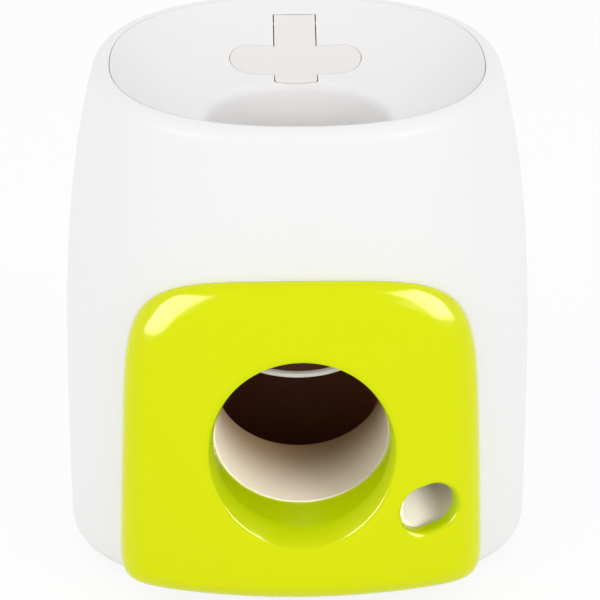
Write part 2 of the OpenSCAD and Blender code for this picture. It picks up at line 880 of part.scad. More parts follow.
// Paddle: a tongue that the ball lands on, a hub on the shaft, and two eyes for the counterweight
module on_pivot() {
    translate([0, pivot_y, pivot_z])
        children();
}
module on_paddle() {
    on_pivot()
        rotate([paddle_rest, 0, 0])
            children();
}
pad_from = 26;
eye_x = 8;
eye_w = 3;
pad_reach = paddle_reach - soft_lip_w;
module ball_paddle() {
    color(dark)
        on_paddle()
            difference() {
                union() {
                    bar_x(-neck_w / 2, neck_w / 2, hub_r);
                    translate([0, 0, -paddle_t / 2])
                        linear_extrude(paddle_t) {
                            translate([-neck_w / 2, -pad_from - 1])
                                square([neck_w, pad_from + 1]);
                            intersection() {
                                translate([0, paddle_r - pad_reach])
                                    circle(r = paddle_r, $fn = 96);
                                translate([-paddle_w / 2, -pad_reach - 1])
                                    square([paddle_w, pad_reach + 1 - pad_from]);
                            }
                        }
                    for (side = [-1, 1])
                        translate([side * (eye_x + eye_w / 2) - eye_w / 2, 0, 0]) {
                            slab_yz(0, eye_w)
                                translate([0, -paddle_t])
                                    square([weight_y, 2 * paddle_t]);
                            translate([0, weight_y, 0])
                                bar_x(0, eye_w, eye_r);
                        }
                }
                bar_x(-neck_w, neck_w, shaft_d / 2 + fix_gap);
                translate([0, weight_y, 0])
                    bar_x(-weight_l, weight_l, weight_d / 2 + fix_gap);
            }
}

// Soft white bead on the paddle's front edge
lip_half = asin(paddle_w / 2 / paddle_r);
module paddle_lip() {
    bead = paddle_t / 2;
    color(white)
        on_paddle()
            translate([0, paddle_r - pad_reach, 0])
                rotate([0, 0, -90 - lip_half])
                    rotate_extrude(angle = 2 * lip_half, $fn = 96)
                        translate([paddle_r + fix_gap, 0]) {
                            translate([0, -bead])
                                square([soft_lip_w - bead, 2 * bead]);
                            translate([soft_lip_w - bead, 0])
                                intersection() {
                                    circle(r = bead);
                                    translate([0, -bead])
                                        square([bead, 2 * bead]);
                                }
                        }
}

module counterweight() {
    color(steel)
        on_paddle()
            translate([0, weight_y, 0])
                bar_x(-weight_l / 2, weight_l / 2, weight_d / 2);
}

// Shafts, bushes and retaining clips
gear_end = gear_x + sector_w;
clip_gap = 0.1;
module bush(x, side) {
    difference() {
        union() {
            bar_x(x - plate_t / 2, x + plate_t / 2, bush_r);
            bar_x(side > 0 ? x + plate_t / 2 : x - plate_t / 2 - flange_t,
                side > 0 ? x + plate_t / 2 + flange_t : x - plate_t / 2, bush_r + flange_w);
        }
        bar_x(x - plate_t, x + plate_t, shaft_d / 2 + run_gap);
    }
}
module clip(x) {
    difference() {
        ring_x(x, x + clip_t, shaft_d / 2 + clip_w, shaft_d / 2 + fix_gap);
        translate([x - eps, -shaft_d / 4, 0])
            cube([clip_t + 2 * eps, shaft_d / 2, shaft_d]);
    }
}
paddle_clip_left = -plate_out - flange_t - clip_gap - clip_t;
module paddle_shaft() {
    color(steel)
        on_pivot()
            bar_x(paddle_clip_left - 1, gear_end + clip_gap + clip_t + 1, shaft_d / 2);
}
module paddle_bushes() {
    color(grey)
        on_pivot() {
            bush(-plate_x, -1);
            bush(plate_x, 1);
        }
}
module paddle_clips() {
    color(steel)
        on_pivot() {
            clip(paddle_clip_left);
            clip(gear_end + clip_gap);
        }
}

// Involute teeth: half angle of a tooth at a radius, one tooth, and a toothed wheel without its bore
function pitch_r(n) = gear_m * n / 2;
function involute(a) = tan(a) * 180 / PI - a;
function half_tooth(n, r) =
    let (base = pitch_r(n) * cos(gear_angle), lean = acos(min(1, base / r)))
    90 / n - gear_play / 4 / pitch_r(n) * 180 / PI + involute(gear_angle) - involute(lean);
flank_steps = 5;
root_m = 1.25;
function root_r(n) = pitch_r(n) - root_m * gear_m;
function tip_r(n) = pitch_r(n) + gear_m;
module tooth(n) {
    start = max(root_r(n), pitch_r(n) * cos(gear_angle));
    radii = [for (k = [0 : flank_steps]) mix(start, tip_r(n), k / flank_steps)];
    half = [for (r = radii) half_tooth(n, r)];
    root = root_r(n) - eps;
    polygon(concat(
        [root * [cos(half[0]), -sin(half[0])]],
        [for (k = [0 : flank_steps]) radii[k] * [cos(half[k]), -sin(half[k])]],
        [for (k = [flank_steps : -1 : 0]) radii[k] * [cos(half[k]), sin(half[k])]],
        [root * [cos(half[0]), sin(half[0])]]
    ));
}

// Sector: only the teeth that pass the pinion, on a web with two windows
sector_step = 360 / sector_n;
sector_first = -ceil(paddle_travel / sector_step) - 2;
sector_last = 2;
module sector_gear() {
    low = mesh_angle + (sector_first - 0.5) * sector_step;
    high = mesh_angle + (sector_last + 0.5) * sector_step;
    far = 2 * pitch_r(sector_n);
    window_r = 7;
    window_rim = 6;
    window_turn = 15;
    window_at = root_r(sector_n) - window_r - window_rim;
    color(grey)
        on_pivot()
            difference() {
                slab_yz(gear_x, gear_end) {
                    intersection() {
                        circle(r = root_r(sector_n), $fn = 96);
                        polygon([[0, 0], far * [cos(low), sin(low)], far * [cos(high), sin(high)]]);
                    }
                    circle(r = hub_r + 2);
                    for (k = [sector_first : sector_last])
                        rotate(mesh_angle + k * sector_step)
                            tooth(sector_n);
                }
                bar_x(gear_x - eps, gear_end + eps, shaft_d / 2 + fix_gap);
                for (side = [-1, 1])
                    rotate([(low + high) / 2 + side * window_turn, 0, 0])
                        translate([0, window_at, 0])
                            bar_x(gear_x - eps, gear_end + eps, window_r);
            }
}

module on_drum() {
    translate([0, drum_y, drum_z])
        children();
}
pinion_w = sector_w + 1;
module drum_pinion() {
    color(grey)
        on_drum()
            difference() {
                slab_yz(gear_x, gear_x + pinion_w) {
                    circle(r = root_r(pinion_n));
                    for (k = [0 : pinion_n - 1])
                        rotate(mesh_angle + 180 + (k + 0.5) * 360 / pinion_n)
                            tooth(pinion_n);
                }
                bar_x(gear_x - eps, gear_x + pinion_w + eps, shaft_d / 2 + fix_gap);
            }
}

// Metering drum, its cover and its bearings
cover_t = plate_t;
cover_x = house_x1 + cover_t / 2;
drum_clip_left = plate_in - clip_gap - clip_t;
module metering_drum() {
    color(white)
        on_drum()
            difference() {
                bar_x(drum_x0, drum_x1, drum_r);
                bar_x(drum_x0 - eps, drum_x1 + eps, shaft_d / 2 + fix_gap);
                translate([treat_x - pocket_w / 2, -pocket_w / 2, drum_r - pocket_h])
                    cube([pocket_w, pocket_w, drum_r]);
            }
}
cover_screw_angles = [-50, 230];
cover_ear_at = house_r + 2.5;
cover_ear_r = 4;
module drum_shaft() {
    color(steel)
        on_drum()
            bar_x(drum_clip_left - 1, cover_x + cover_t / 2 + flange_t + clip_gap + clip_t + 1, shaft_d / 2);
}
module drum_bushes() {
    color(grey)
        on_drum() {
            bush(plate_x, 1);
            bush(cover_x, 1);
        }
}
module drum_clips() {
    color(steel)
        on_drum() {
            clip(drum_clip_left);
            clip(cover_x + cover_t / 2 + flange_t + clip_gap);
        }
}
module at_cover_ears() {
    for (angle = cover_screw_angles)
        on_drum()
            rotate([angle, 0, 0])
                translate([0, cover_ear_at, 0])
                    children();
}
module drum_cover() {
    color(white)
        difference() {
            union() {
                on_drum()
                    bar_x(house_x1, house_x1 + cover_t, house_r);
                at_cover_ears()
                    bar_x(house_x1, house_x1 + cover_t, cover_ear_r);
            }
            on_drum()
                bar_x(house_x1 - eps, house_x1 + cover_t + eps, bush_r + fix_gap);
            at_cover_ears()
                bar_x(house_x1 - eps, house_x1 + cover_t + eps, screw_hole_r);
        }
}
cover_bite = 6;
cover_boss_l = 8;
cover_screw_l = cover_t + cover_bite;
module cover_screws() {
    color(steel)
        at_cover_ears()
            translate([house_x1 + cover_t, 0, 0])
                rotate([0, 90, 0])
                    screw(cover_screw_l);
}

// Hopper: a bin with a sloping floor, a housing round the drum, a spout, and two tabs on the frame
bin_high = rim_z;
bin_lean = 10;
tab_drop = 14;
tab_screw_in = [8, 6];
tab_screw_y = pivot_y + tab_screw_in.x;
hopper_tab_w = 12;
plate_top = floor_z(plate_out) - seat_gap - plate_t;
tab_screw_z = plate_top - tab_screw_in.y;
module hopper_tab(side) {
    x0 = side > 0 ? plate_in - seat_gap - hopper_t : -plate_in + seat_gap;
    translate([x0, tab_screw_y - hopper_tab_w / 2, plate_top - tab_drop])
        cube([hopper_t, hopper_tab_w, floor_z(x0) + hopper_t / 2 - plate_top + tab_drop]);
}
module treat_hopper() {
    floor_in = hopper_t / cos(hopper_fall);
    color(white)
        difference() {
            union() {
                slab_xz(hopper_front, hopper_rear)
                    polygon([
                        [-hopper_left, bin_high],
                        [-hopper_left, floor_z(-hopper_left)],
                        [house_x0, house_top],
                        [house_x0, house_top - 2 * hopper_t],
                        [house_x1, house_top - 2 * hopper_t],
                        [house_x1, house_top],
                        [house_x1 - bin_lean, bin_high]
                    ]);
                on_drum()
                    bar_x(house_x0, house_x1, house_r);
                translate([treat_x, drum_y, spout_end])
                    cylinder(h = drum_z - drum_room - spout_end, r = spout_r + hopper_t);
                at_cover_ears()
                    bar_x(house_x1 - cover_boss_l, house_x1, cover_ear_r);
                for (side = [-1, 1])
                    hopper_tab(side);
            }
            slab_xz(hopper_front + hopper_t, hopper_rear - hopper_t)
                polygon([
                    [-hopper_left + hopper_t, bin_high + eps],
                    [-hopper_left + hopper_t, floor_z(hopper_t - hopper_left) + floor_in],
                    [house_x0 + hopper_t, house_top],
                    [house_x1 - hopper_t, house_top],
                    [house_x1 - hopper_t - bin_lean, bin_high + eps]
                ]);
            slab_yz(-body_w, body_w)
                polygon([
                    [0, hopper_top - hopper_front * mouth_rise],
                    [body_d, hopper_top + (body_d - hopper_front) * mouth_rise],
                    [body_d, 2 * rim_z],
                    [0, 2 * rim_z]
                ]);
            on_drum()
                bar_x(drum_x0 - move_gap, house_x1 + eps, drum_room);
            on_drum()
                bar_x(house_x0 - eps, house_x1, shaft_d / 2 + 1);
            translate([treat_x - pocket_w / 2, drum_y - pocket_w / 2, drum_z])
                cube([pocket_w, pocket_w, house_r + eps]);
            translate([treat_x, drum_y, spout_end - eps])
                cylinder(h = drum_z - spout_end, r = spout_r);
            at_cover_ears()
                bar_x(house_x1 - cover_boss_l, house_x1 + eps, thread_r);
            translate([0, tab_screw_y, tab_screw_z])
                bar_x(-plate_x, plate_x, thread_r);
        }
}
hopper_screw_l = plate_t + hopper_t;
module hopper_screws() {
    color(steel)
        for (side = [-1, 1])
            translate([side * plate_out, tab_screw_y, tab_screw_z])
                rotate([0, side * 90, 0])
                    screw(hopper_screw_l);
}

// Chute: a sloping tube with a cup under the spout, cut square to the treat hole at its front
cup_rise = 5;
cup_r = spout_room + tube_t;
cup_floor = chute_top_z - chute_r;
chute_l = (drum_y - chute_y) / cos(chute_slope);
module treat_chute() {
    color(white)
        difference() {
            union() {
                on_chute_axis()
                    translate([0, 0, -chute_out])
                        cylinder(h = chute_l + chute_out, r = chute_out);
                translate([treat_x, drum_y, cup_floor - tube_t])
                    cylinder(h = spout_end + cup_rise - cup_floor + tube_t, r = cup_r);
                tube_leg(treat_x, chute_leg_y, [
                    for (end = [-1, 1]) chute_axis_z(chute_leg_y + end * web_l / 2) - chute_r
                ]);
            }
            on_chute_axis()
                translate([0, 0, -chute_out - eps])
                    cylinder(h = chute_l + chute_out, r = chute_r);
            translate([treat_x, drum_y, cup_floor])
                cylinder(h = drum_z, r = spout_room);
            on_treat_axis()
                translate([-2 * treat_w, -2 * treat_w, -treat_collar - seat_gap])
                    cube(4 * treat_w);
        }
}

// Frame: two side plates on a common foot, tied by two bars, the upper of which stops the paddle
frame_edge = 7;
frame_back = 6;
frame_side = 8;
frame_low = 14;
frame_high = 16;
frame_y0 = pivot_y - frame_edge;
frame_y1 = weight_rest.x + frame_back;
frame_foot_y = column_rear + seat_gap;
tie_h = 40;
stop_r = 3;
stop_z = weight_rest.y - eye_r - stop_r - move_gap;
module side_plate() {
    difference() {
        translate([frame_y0, base_top])
            square([frame_y1 - frame_y0, plate_top - base_top]);
        translate([frame_y0 + frame_side, base_top + frame_low])
            square([frame_y1 - frame_y0 - 2 * frame_side, stop_z - base_top - frame_low - frame_high]);
        translate([pivot_y, pivot_z])
            circle(r = bush_r + fix_gap);
    }
}
frame_screw_y = [frame_y0 + frame_edge, frame_y1 - frame_edge];
frame_screw_at = [for (x = [-1, 1], y = frame_screw_y) [x * (plate_in - frame_edge), y]];
module mechanism_frame() {
    color(grey)
        difference() {
            union() {
                for (side = [-1, 1])
                    slab_yz(side * plate_x - plate_t / 2, side * plate_x + plate_t / 2)
                        side_plate();
                translate([-plate_x, frame_foot_y, base_top])
                    cube([2 * plate_x, frame_y1 - frame_foot_y, foot_t]);
                translate([0, weight_rest.x, stop_z])
                    bar_x(-plate_x, plate_x, stop_r);
                translate([0, frame_foot_y + stop_r, base_top + tie_h])
                    bar_x(-plate_x, plate_x, stop_r);
            }
            on_drum()
                bar_x(0, body_w, bush_r + fix_gap);
            translate([0, tab_screw_y, tab_screw_z])
                bar_x(-body_w, body_w, screw_hole_r);
            for (at = frame_screw_at)
                translate([at.x, at.y, base_top - eps])
                    cylinder(h = foot_t + 2 * eps, r = screw_hole_r);
        }
}
module frame_screws() {
    color(steel)
        for (at = frame_screw_at)
            foot_screw(at.x, at.y);
}

// Base plate, its screws and feet
foot_sink = 1;
head_sink = 0.2;
thread_gap = 0.4;
foot_in = [54, 38];
foot_x = body_w / 2 - foot_in.x;
foot_y = body_d / 2 - foot_in.y;
foot_at = [for (sx = [-1, 1], sy = [-1, 1]) [sx * foot_x, sy * foot_y]];
base_screw_l = 14;
module base_plate() {
    outline = [for (p = shell_ring(0, edge_r + seat_gap)) [p.x, p.y]];
    color(white)
        difference() {
            union() {
                translate([0, 0, base_z])
                    linear_extrude(base_t)
                        polygon(outline);
                for (at = base_screw_at)
                    translate([at.x, at.y, base_z])
                        cylinder(h = base_t + base_boss_h, r = post_r);
            }
            for (at = concat(chamber_screw_at, path_screw_at, frame_screw_at))
                translate([at.x, at.y, base_top - base_t + thread_gap])
                    cylinder(h = base_t, r = thread_r);
            for (at = base_screw_at)
                translate([at.x, at.y, base_z - eps]) {
                    cylinder(h = base_t + base_boss_h + 2 * eps, r = screw_hole_r);
                    cylinder(h = head_h + head_sink + eps, r = head_d / 2 + seat_gap);
                }
            for (at = foot_at)
                translate([at.x, at.y, base_z - eps])
                    cylinder(h = foot_sink + eps, r = foot_d / 2 + fix_gap);
        }
}
module base_screws() {
    color(steel)
        for (at = base_screw_at)
            translate([at.x, at.y, base_z + head_h + head_sink])
                rotate([180, 0, 0])
                    screw(base_screw_l);
}
module rubber_feet() {
    color(black)
        for (at = foot_at)
            translate([at.x, at.y, 0])
                cylinder(h = foot_h + foot_sink, d = foot_d);
}

// The origin lies under the middle of the shell and the panel together
panel_front = min([for (ring = panel_rings, p = ring) p.y]);
frame_y = -(body_d / 2 + panel_front) / 2;
module placed() {
    translate([0, frame_y, 0])
        children();
}

placed() outer_shell();
placed() top_funnel();
placed() hatch_lid();
placed() hatch_hinge_pin();
placed() front_panel();
placed() panel_screws();
placed() outlet_tube();
placed() drop_tube();
placed() ball_chamber();
placed() chamber_screws();
placed() ball_paddle();
placed() paddle_lip();
placed() counterweight();
placed() paddle_shaft();
placed() paddle_bushes();
placed() paddle_clips();
placed() sector_gear();
placed() mechanism_frame();
placed() frame_screws();
placed() treat_hopper();
placed() hopper_screws();
placed() metering_drum();
placed() drum_cover();
placed() cover_screws();
placed() drum_shaft();
placed() drum_bushes();
placed() drum_clips();
placed() drum_pinion();
placed() treat_chute();
placed() path_screws();
placed() base_plate();
placed() base_screws();
placed() rubber_feet();
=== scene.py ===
"""Looks of the gravity-fed ball and treat dispenser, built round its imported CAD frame.

The moulded housing, the dish, the hatch lid and the domed lime panel are surfaces worked out with numpy
from the same sizes as the part's source. Every other piece is its CAD node with a finish of its own.
Sizes are in millimetres in the housing's own frame, where y = 0 is the middle of the housing.
"""

import json
import logging
import math
from collections.abc import Sequence
from dataclasses import dataclass, field
from enum import Enum
from typing import Any, Union

import bpy
import numpy as np
from mathutils import Matrix, Vector

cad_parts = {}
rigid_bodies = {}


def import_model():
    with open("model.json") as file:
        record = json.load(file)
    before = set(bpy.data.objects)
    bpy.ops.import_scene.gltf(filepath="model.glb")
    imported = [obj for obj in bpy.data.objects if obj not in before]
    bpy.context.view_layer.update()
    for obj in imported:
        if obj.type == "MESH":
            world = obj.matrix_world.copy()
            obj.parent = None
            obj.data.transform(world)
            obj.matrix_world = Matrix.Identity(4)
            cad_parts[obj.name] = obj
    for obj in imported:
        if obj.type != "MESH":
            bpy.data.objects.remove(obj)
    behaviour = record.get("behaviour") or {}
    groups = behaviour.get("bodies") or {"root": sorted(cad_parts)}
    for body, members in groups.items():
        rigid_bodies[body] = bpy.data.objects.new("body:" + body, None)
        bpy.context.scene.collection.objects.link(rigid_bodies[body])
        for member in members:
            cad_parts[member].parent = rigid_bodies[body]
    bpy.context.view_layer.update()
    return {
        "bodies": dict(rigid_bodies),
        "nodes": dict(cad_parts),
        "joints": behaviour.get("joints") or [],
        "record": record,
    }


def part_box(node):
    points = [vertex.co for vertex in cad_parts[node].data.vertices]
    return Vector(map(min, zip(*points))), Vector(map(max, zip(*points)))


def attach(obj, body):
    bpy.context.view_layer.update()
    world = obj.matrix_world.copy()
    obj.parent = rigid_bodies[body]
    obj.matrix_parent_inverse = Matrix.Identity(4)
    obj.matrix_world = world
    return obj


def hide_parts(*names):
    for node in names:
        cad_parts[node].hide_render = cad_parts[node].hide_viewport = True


LOG = logging.getLogger("dispenser")
MM = 0.001
KEPT = "finish_"
Array = np.ndarray
Colour = tuple[float, float, float]


# Shader expressions


class Wire:
    """A node's output socket that takes part in Python expressions; each operator adds a Math node."""

    def __init__(self, graph: "Graph", socket: bpy.types.NodeSocket) -> None:
        """Keeps the socket and the graph that its Math nodes go into."""
        self.graph = graph
        self.socket = socket

    def __add__(self, other: "Value") -> "Wire":
        """Sum of two values."""
        return self.graph.math("ADD", self, other)

    def __radd__(self, other: "Value") -> "Wire":
        """Sum with a number on the left."""
        return self.graph.math("ADD", other, self)

    def __sub__(self, other: "Value") -> "Wire":
        """Difference of two values."""
        return self.graph.math("SUBTRACT", self, other)

    def __rsub__(self, other: "Value") -> "Wire":
        """Difference from a number on the left."""
        return self.graph.math("SUBTRACT", other, self)

    def __mul__(self, other: "Value") -> "Wire":
        """Product of two values."""
        return self.graph.math("MULTIPLY", self, other)

    def __rmul__(self, other: "Value") -> "Wire":
        """Product with a number on the left."""
        return self.graph.math("MULTIPLY", other, self)

    def __pow__(self, other: "Value") -> "Wire":
        """Power of a value."""
        return self.graph.math("POWER", self, other)

    def __rpow__(self, other: "Value") -> "Wire":
        """Power of a number on the left."""
        return self.graph.math("POWER", other, self)

    def maximum(self, other: "Value") -> "Wire":
        """Larger of two values."""
        return self.graph.math("MAXIMUM", self, other)


Value = Union[Wire, float, int]
Tone = Union[Wire, Colour]


class Graph:
    """Node tree of one material or of the world."""

    def __init__(self, tree: bpy.types.NodeTree) -> None:
        """Clears the tree.

        Args:
            tree: The node tree to fill.
        """
        self.tree = tree
        tree.nodes.clear()

    def node(self, kind: str, settings: dict[str, Any], inputs: dict[Any, Any]) -> bpy.types.Node:
        """Adds a node, sets its settings, then its sockets.

        Args:
            kind: Blender's name of the node type.
            settings: Attributes to set first, such as a Math node's operation.
            inputs: Socket name or index to a number, a tuple, a Wire or a plain output socket.

        Returns:
            The new node.
        """
        made = self.tree.nodes.new(kind)
        for name, value in settings.items():
            setattr(made, name, value)
        for key, value in inputs.items():
            socket = made.inputs[key]
            value = value.socket if isinstance(value, Wire) else value
            if isinstance(value, bpy.types.NodeSocket):
                self.tree.links.new(value, socket)
            else:
                socket.default_value = value
        return made

    def wire(self, made: bpy.types.Node, output: Any = 0) -> Wire:
        """Wraps an output of a node."""
        return Wire(self, made.outputs[output])

    def math(self, operation: str, first: Value, second: Value) -> Wire:
        """Adds a Math node on two values."""
        return self.wire(self.node("ShaderNodeMath", {"operation": operation}, {0: first, 1: second}))

    def place(self, scale: Colour = (1.0, 1.0, 1.0)) -> Wire:
        """Object coordinates, scaled along each axis."""
        coords = self.node("ShaderNodeTexCoord", {}, {}).outputs["Object"]
        return self.wire(self.node("ShaderNodeMapping", {}, {"Vector": coords, "Scale": scale}))

    def noise(self, at: Wire, scale: float, detail: float = 2.0) -> Wire:
        """Noise from 0 to 1 at a scale per metre."""
        made = self.node("ShaderNodeTexNoise", {}, {"Vector": at, "Scale": scale, "Detail": detail})
        return self.wire(made, "Fac")

    def blend(self, share: Value, low: Tone, high: Tone) -> Wire:
        """Colour that goes from low to high as the share goes from 0 to 1.

        Args:
            share: The share, a Mix node's input 0.
            low: Colour or wire at 0, its colour input 6.
            high: Colour or wire at 1, its colour input 7.

        Returns:
            The mixed colour, its colour output 2.
        """
        low, high = (tone if isinstance(tone, Wire) else (*tone, 1.0) for tone in (low, high))
        return self.wire(self.node("ShaderNodeMix", {"data_type": "RGBA"}, {0: share, 6: low, 7: high}), 2)

    def axes(self) -> tuple[Wire, Wire, Wire]:
        """The three object coordinates, each as a wire of its own."""
        split = self.node("ShaderNodeSeparateXYZ", {}, {0: self.place()})
        return self.wire(split, "X"), self.wire(split, "Y"), self.wire(split, "Z")

    def ramp(self, value: Wire, start: float, end: float) -> Wire:
        """Share from 0 to 1 of a value's way from start to end, eased and held at both."""
        inputs = {"Value": value, "From Min": start, "From Max": end}
        return self.wire(self.node("ShaderNodeMapRange", {"interpolation_type": "SMOOTHSTEP"}, inputs))

    def bump(self, height: Wire, strength: float, distance: float) -> Wire:
        """Normal bent by a height."""
        inputs = {"Height": height, "Strength": strength, "Distance": distance}
        return self.wire(self.node("ShaderNodeBump", {}, inputs))

    def surface(self, kind: str, inputs: dict[Any, Any]) -> None:
        """Adds a shader and joins it to the output."""
        shader = self.node(kind, {}, inputs)
        self.node("ShaderNodeOutputMaterial", {}, {"Surface": shader.outputs[0]})


def new_graph(name: str) -> tuple[bpy.types.Material, Graph]:
    """Makes an empty node material.

    Args:
        name: Name of the material.

    Returns:
        The material and its graph.
    """
    material = bpy.data.materials.new(name)
    material.use_nodes = True
    return material, Graph(material.node_tree)


def scaled(colour: Colour, factor: float) -> Colour:
    """Colour times a number, held within 0 to 1."""
    return tuple(min(1.0, channel * factor) for channel in colour)


# Finishes


@dataclass(frozen=True)
class Moulded:
    """Injection-moulded plastic: an even colour with faint flow clouding, and the mould's fine skin.

    The colour and the roughness follow two slow noises; the skin is a fast noise that bends the normal.
    """

    name: str
    colour: Colour
    roughness: float
    cloud: float = 0.012
    skin: float = 0.05
    skin_scale: float = 900.0
    specular: float = 0.4
    tint: Colour = (1.0, 1.0, 1.0)
    flow_scale: float = 14.0
    dust_scale: float = 160.0
    flow_share: float = 0.7
    flow_dull: float = 0.05
    dust_dull: float = 0.08
    dust_height: float = 0.6
    bump_depth: float = 0.0002

    def tone(self, graph: Graph, share: Wire) -> Wire:
        """Base colour: a little darker or lighter with the share."""
        low, high = scaled(self.colour, 1 - self.cloud), scaled(self.colour, 1 + self.cloud)
        return graph.blend(share, low, high)

    def material(self) -> bpy.types.Material:
        """Builds the material.

        Returns:
            The finished material.
        """
        material, graph = new_graph(KEPT + self.name)
        at = graph.place()
        flow = graph.noise(at, self.flow_scale, detail=3.0)
        dust = graph.noise(at, self.dust_scale, detail=4.0)
        height = graph.noise(at, self.skin_scale) + self.dust_height * dust
        dull = self.dust_dull * (dust - 0.5) + self.flow_dull * (flow - 0.5)
        graph.surface(
            "ShaderNodeBsdfPrincipled",
            {
                "Base Color": self.tone(graph, self.flow_share * flow + (1 - self.flow_share) * dust),
                "Roughness": self.roughness + dull,
                "Normal": graph.bump(height, self.skin, self.bump_depth),
                "Specular IOR Level": self.specular,
                "Specular Tint": (*self.tint, 1.0),
            },
        )
        return material


@dataclass(frozen=True)
class DepthShadedMoulded(Moulded):
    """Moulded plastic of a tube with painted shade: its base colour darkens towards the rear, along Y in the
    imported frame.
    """

    # deep is the colour of the painted shade at the rear; start and end are where it begins and where it is
    # full, along Y.
    deep: Colour = (0.5, 0.5, 0.5)
    start: float = 0.0
    end: float = 1.0

    def tone(self, graph: Graph, share: Wire) -> Wire:
        """Base colour: the clouded colour at the start, the deep colour of the painted shade at the end."""
        _, y, _ = graph.axes()
        return graph.blend(graph.ramp(y, self.start, self.end), super().tone(graph, share), self.deep)


@dataclass(frozen=True)
class Recess:
    """Round or oval opening: a point on its axis, its radii, its slope and its tilt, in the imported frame."""

    x: float
    y: float
    z: float
    wall_r: float
    mouth_r: float
    slope: float = 0.0
    tilt: float = 0.0
    stretch: float = 1.0

    # The share masks the painted shade on the walls of a panel's opening.
    def share(self, graph: Graph) -> Wire:
        """Share of the way from the opening's wall to the face.

        The distance from the axis is that of an ellipse, its long side shortened by the stretch.

        Args:
            graph: The material's nodes.

        Returns:
            Nought on the wall, one out on the face.
        """
        x, y, z = graph.axes()
        side = x - self.x
        up = math.cos(self.slope) * (z - self.z) - math.sin(self.slope) * (y - self.y)
        c, s = math.cos(self.tilt), math.sin(self.tilt)
        long, short = c / self.stretch * side + s / self.stretch * up, c * up - s * side
        return graph.ramp((long**2.0 + short**2.0) ** 0.5, self.wall_r, self.mouth_r)


@dataclass(frozen=True)
class RecessShadedMoulded(Moulded):
    """Moulded plastic with painted shade: the base colour turns darker on the walls of its openings."""

    deep: Colour = (0.5, 0.5, 0.5)
    recesses: tuple[Recess, ...] = ()

    def tone(self, graph: Graph, share: Wire) -> Wire:
        """Base colour: the deep colour of the painted shade on the openings' walls, the clouded colour out on
        the face.
        """
        face = math.prod(recess.share(graph) for recess in self.recesses)
        return graph.blend(face, self.deep, super().tone(graph, share))


@dataclass(frozen=True)
class Turned:
    """Turned and zinc-plated steel: fine rings along X, the axis that most of its pieces lie on."""

    name: str
    colour: Colour
    roughness: float
    pitch: float = 2600.0
    along: Colour = (1.0, 0.06, 0.06)
    stain_scale: float = 220.0
    dark: float = 0.86
    pale: float = 1.08
    line_dull: float = 0.16
    stain_dull: float = 0.12
    bump: float = 0.12
    bump_depth: float = 0.0001

    def material(self) -> bpy.types.Material:
        """Builds the material.

        Returns:
            The finished material.
        """
        material, graph = new_graph(KEPT + self.name)
        lines = graph.noise(graph.place(self.along), self.pitch)
        stain = graph.noise(graph.place(), self.stain_scale, detail=4.0)
        dull = self.line_dull * (lines - 0.5) + self.stain_dull * (stain - 0.5)
        dark, pale = scaled(self.colour, self.dark), scaled(self.colour, self.pale)
        graph.surface(
            "ShaderNodeBsdfPrincipled",
            {
                "Base Color": graph.blend(stain, dark, pale),
                "Metallic": 1.0,
                "Roughness": self.roughness + dull,
                "Normal": graph.bump(lines, self.bump, self.bump_depth),
            },
        )
        return material


@dataclass(frozen=True)
class Rubbery:
    """Soft moulded rubber: dull, with a pebbled skin and a pale bloom where the noise is high."""

    name: str
    colour: Colour
    bloom: Colour
    roughness: float = 0.72
    pebble_scale: float = 1400.0
    haze_scale: float = 90.0
    haze_dull: float = 0.14
    specular: float = 0.3
    bump: float = 0.18
    bump_depth: float = 0.0002

    def material(self) -> bpy.types.Material:
        """Builds the material.

        Returns:
            The finished material.
        """
        material, graph = new_graph(KEPT + self.name)
        at = graph.place()
        cells = graph.node("ShaderNodeTexVoronoi", {}, {"Vector": at, "Scale": self.pebble_scale})
        haze = graph.noise(at, self.haze_scale, detail=5.0)
        graph.surface(
            "ShaderNodeBsdfPrincipled",
            {
                "Base Color": graph.blend(haze**2.0, self.colour, self.bloom),
                "Roughness": self.roughness + self.haze_dull * (haze - 0.5),
                "Normal": graph.bump(graph.wire(cells, "Distance"), self.bump, self.bump_depth),
                "Specular IOR Level": self.specular,
            },
        )
        return material


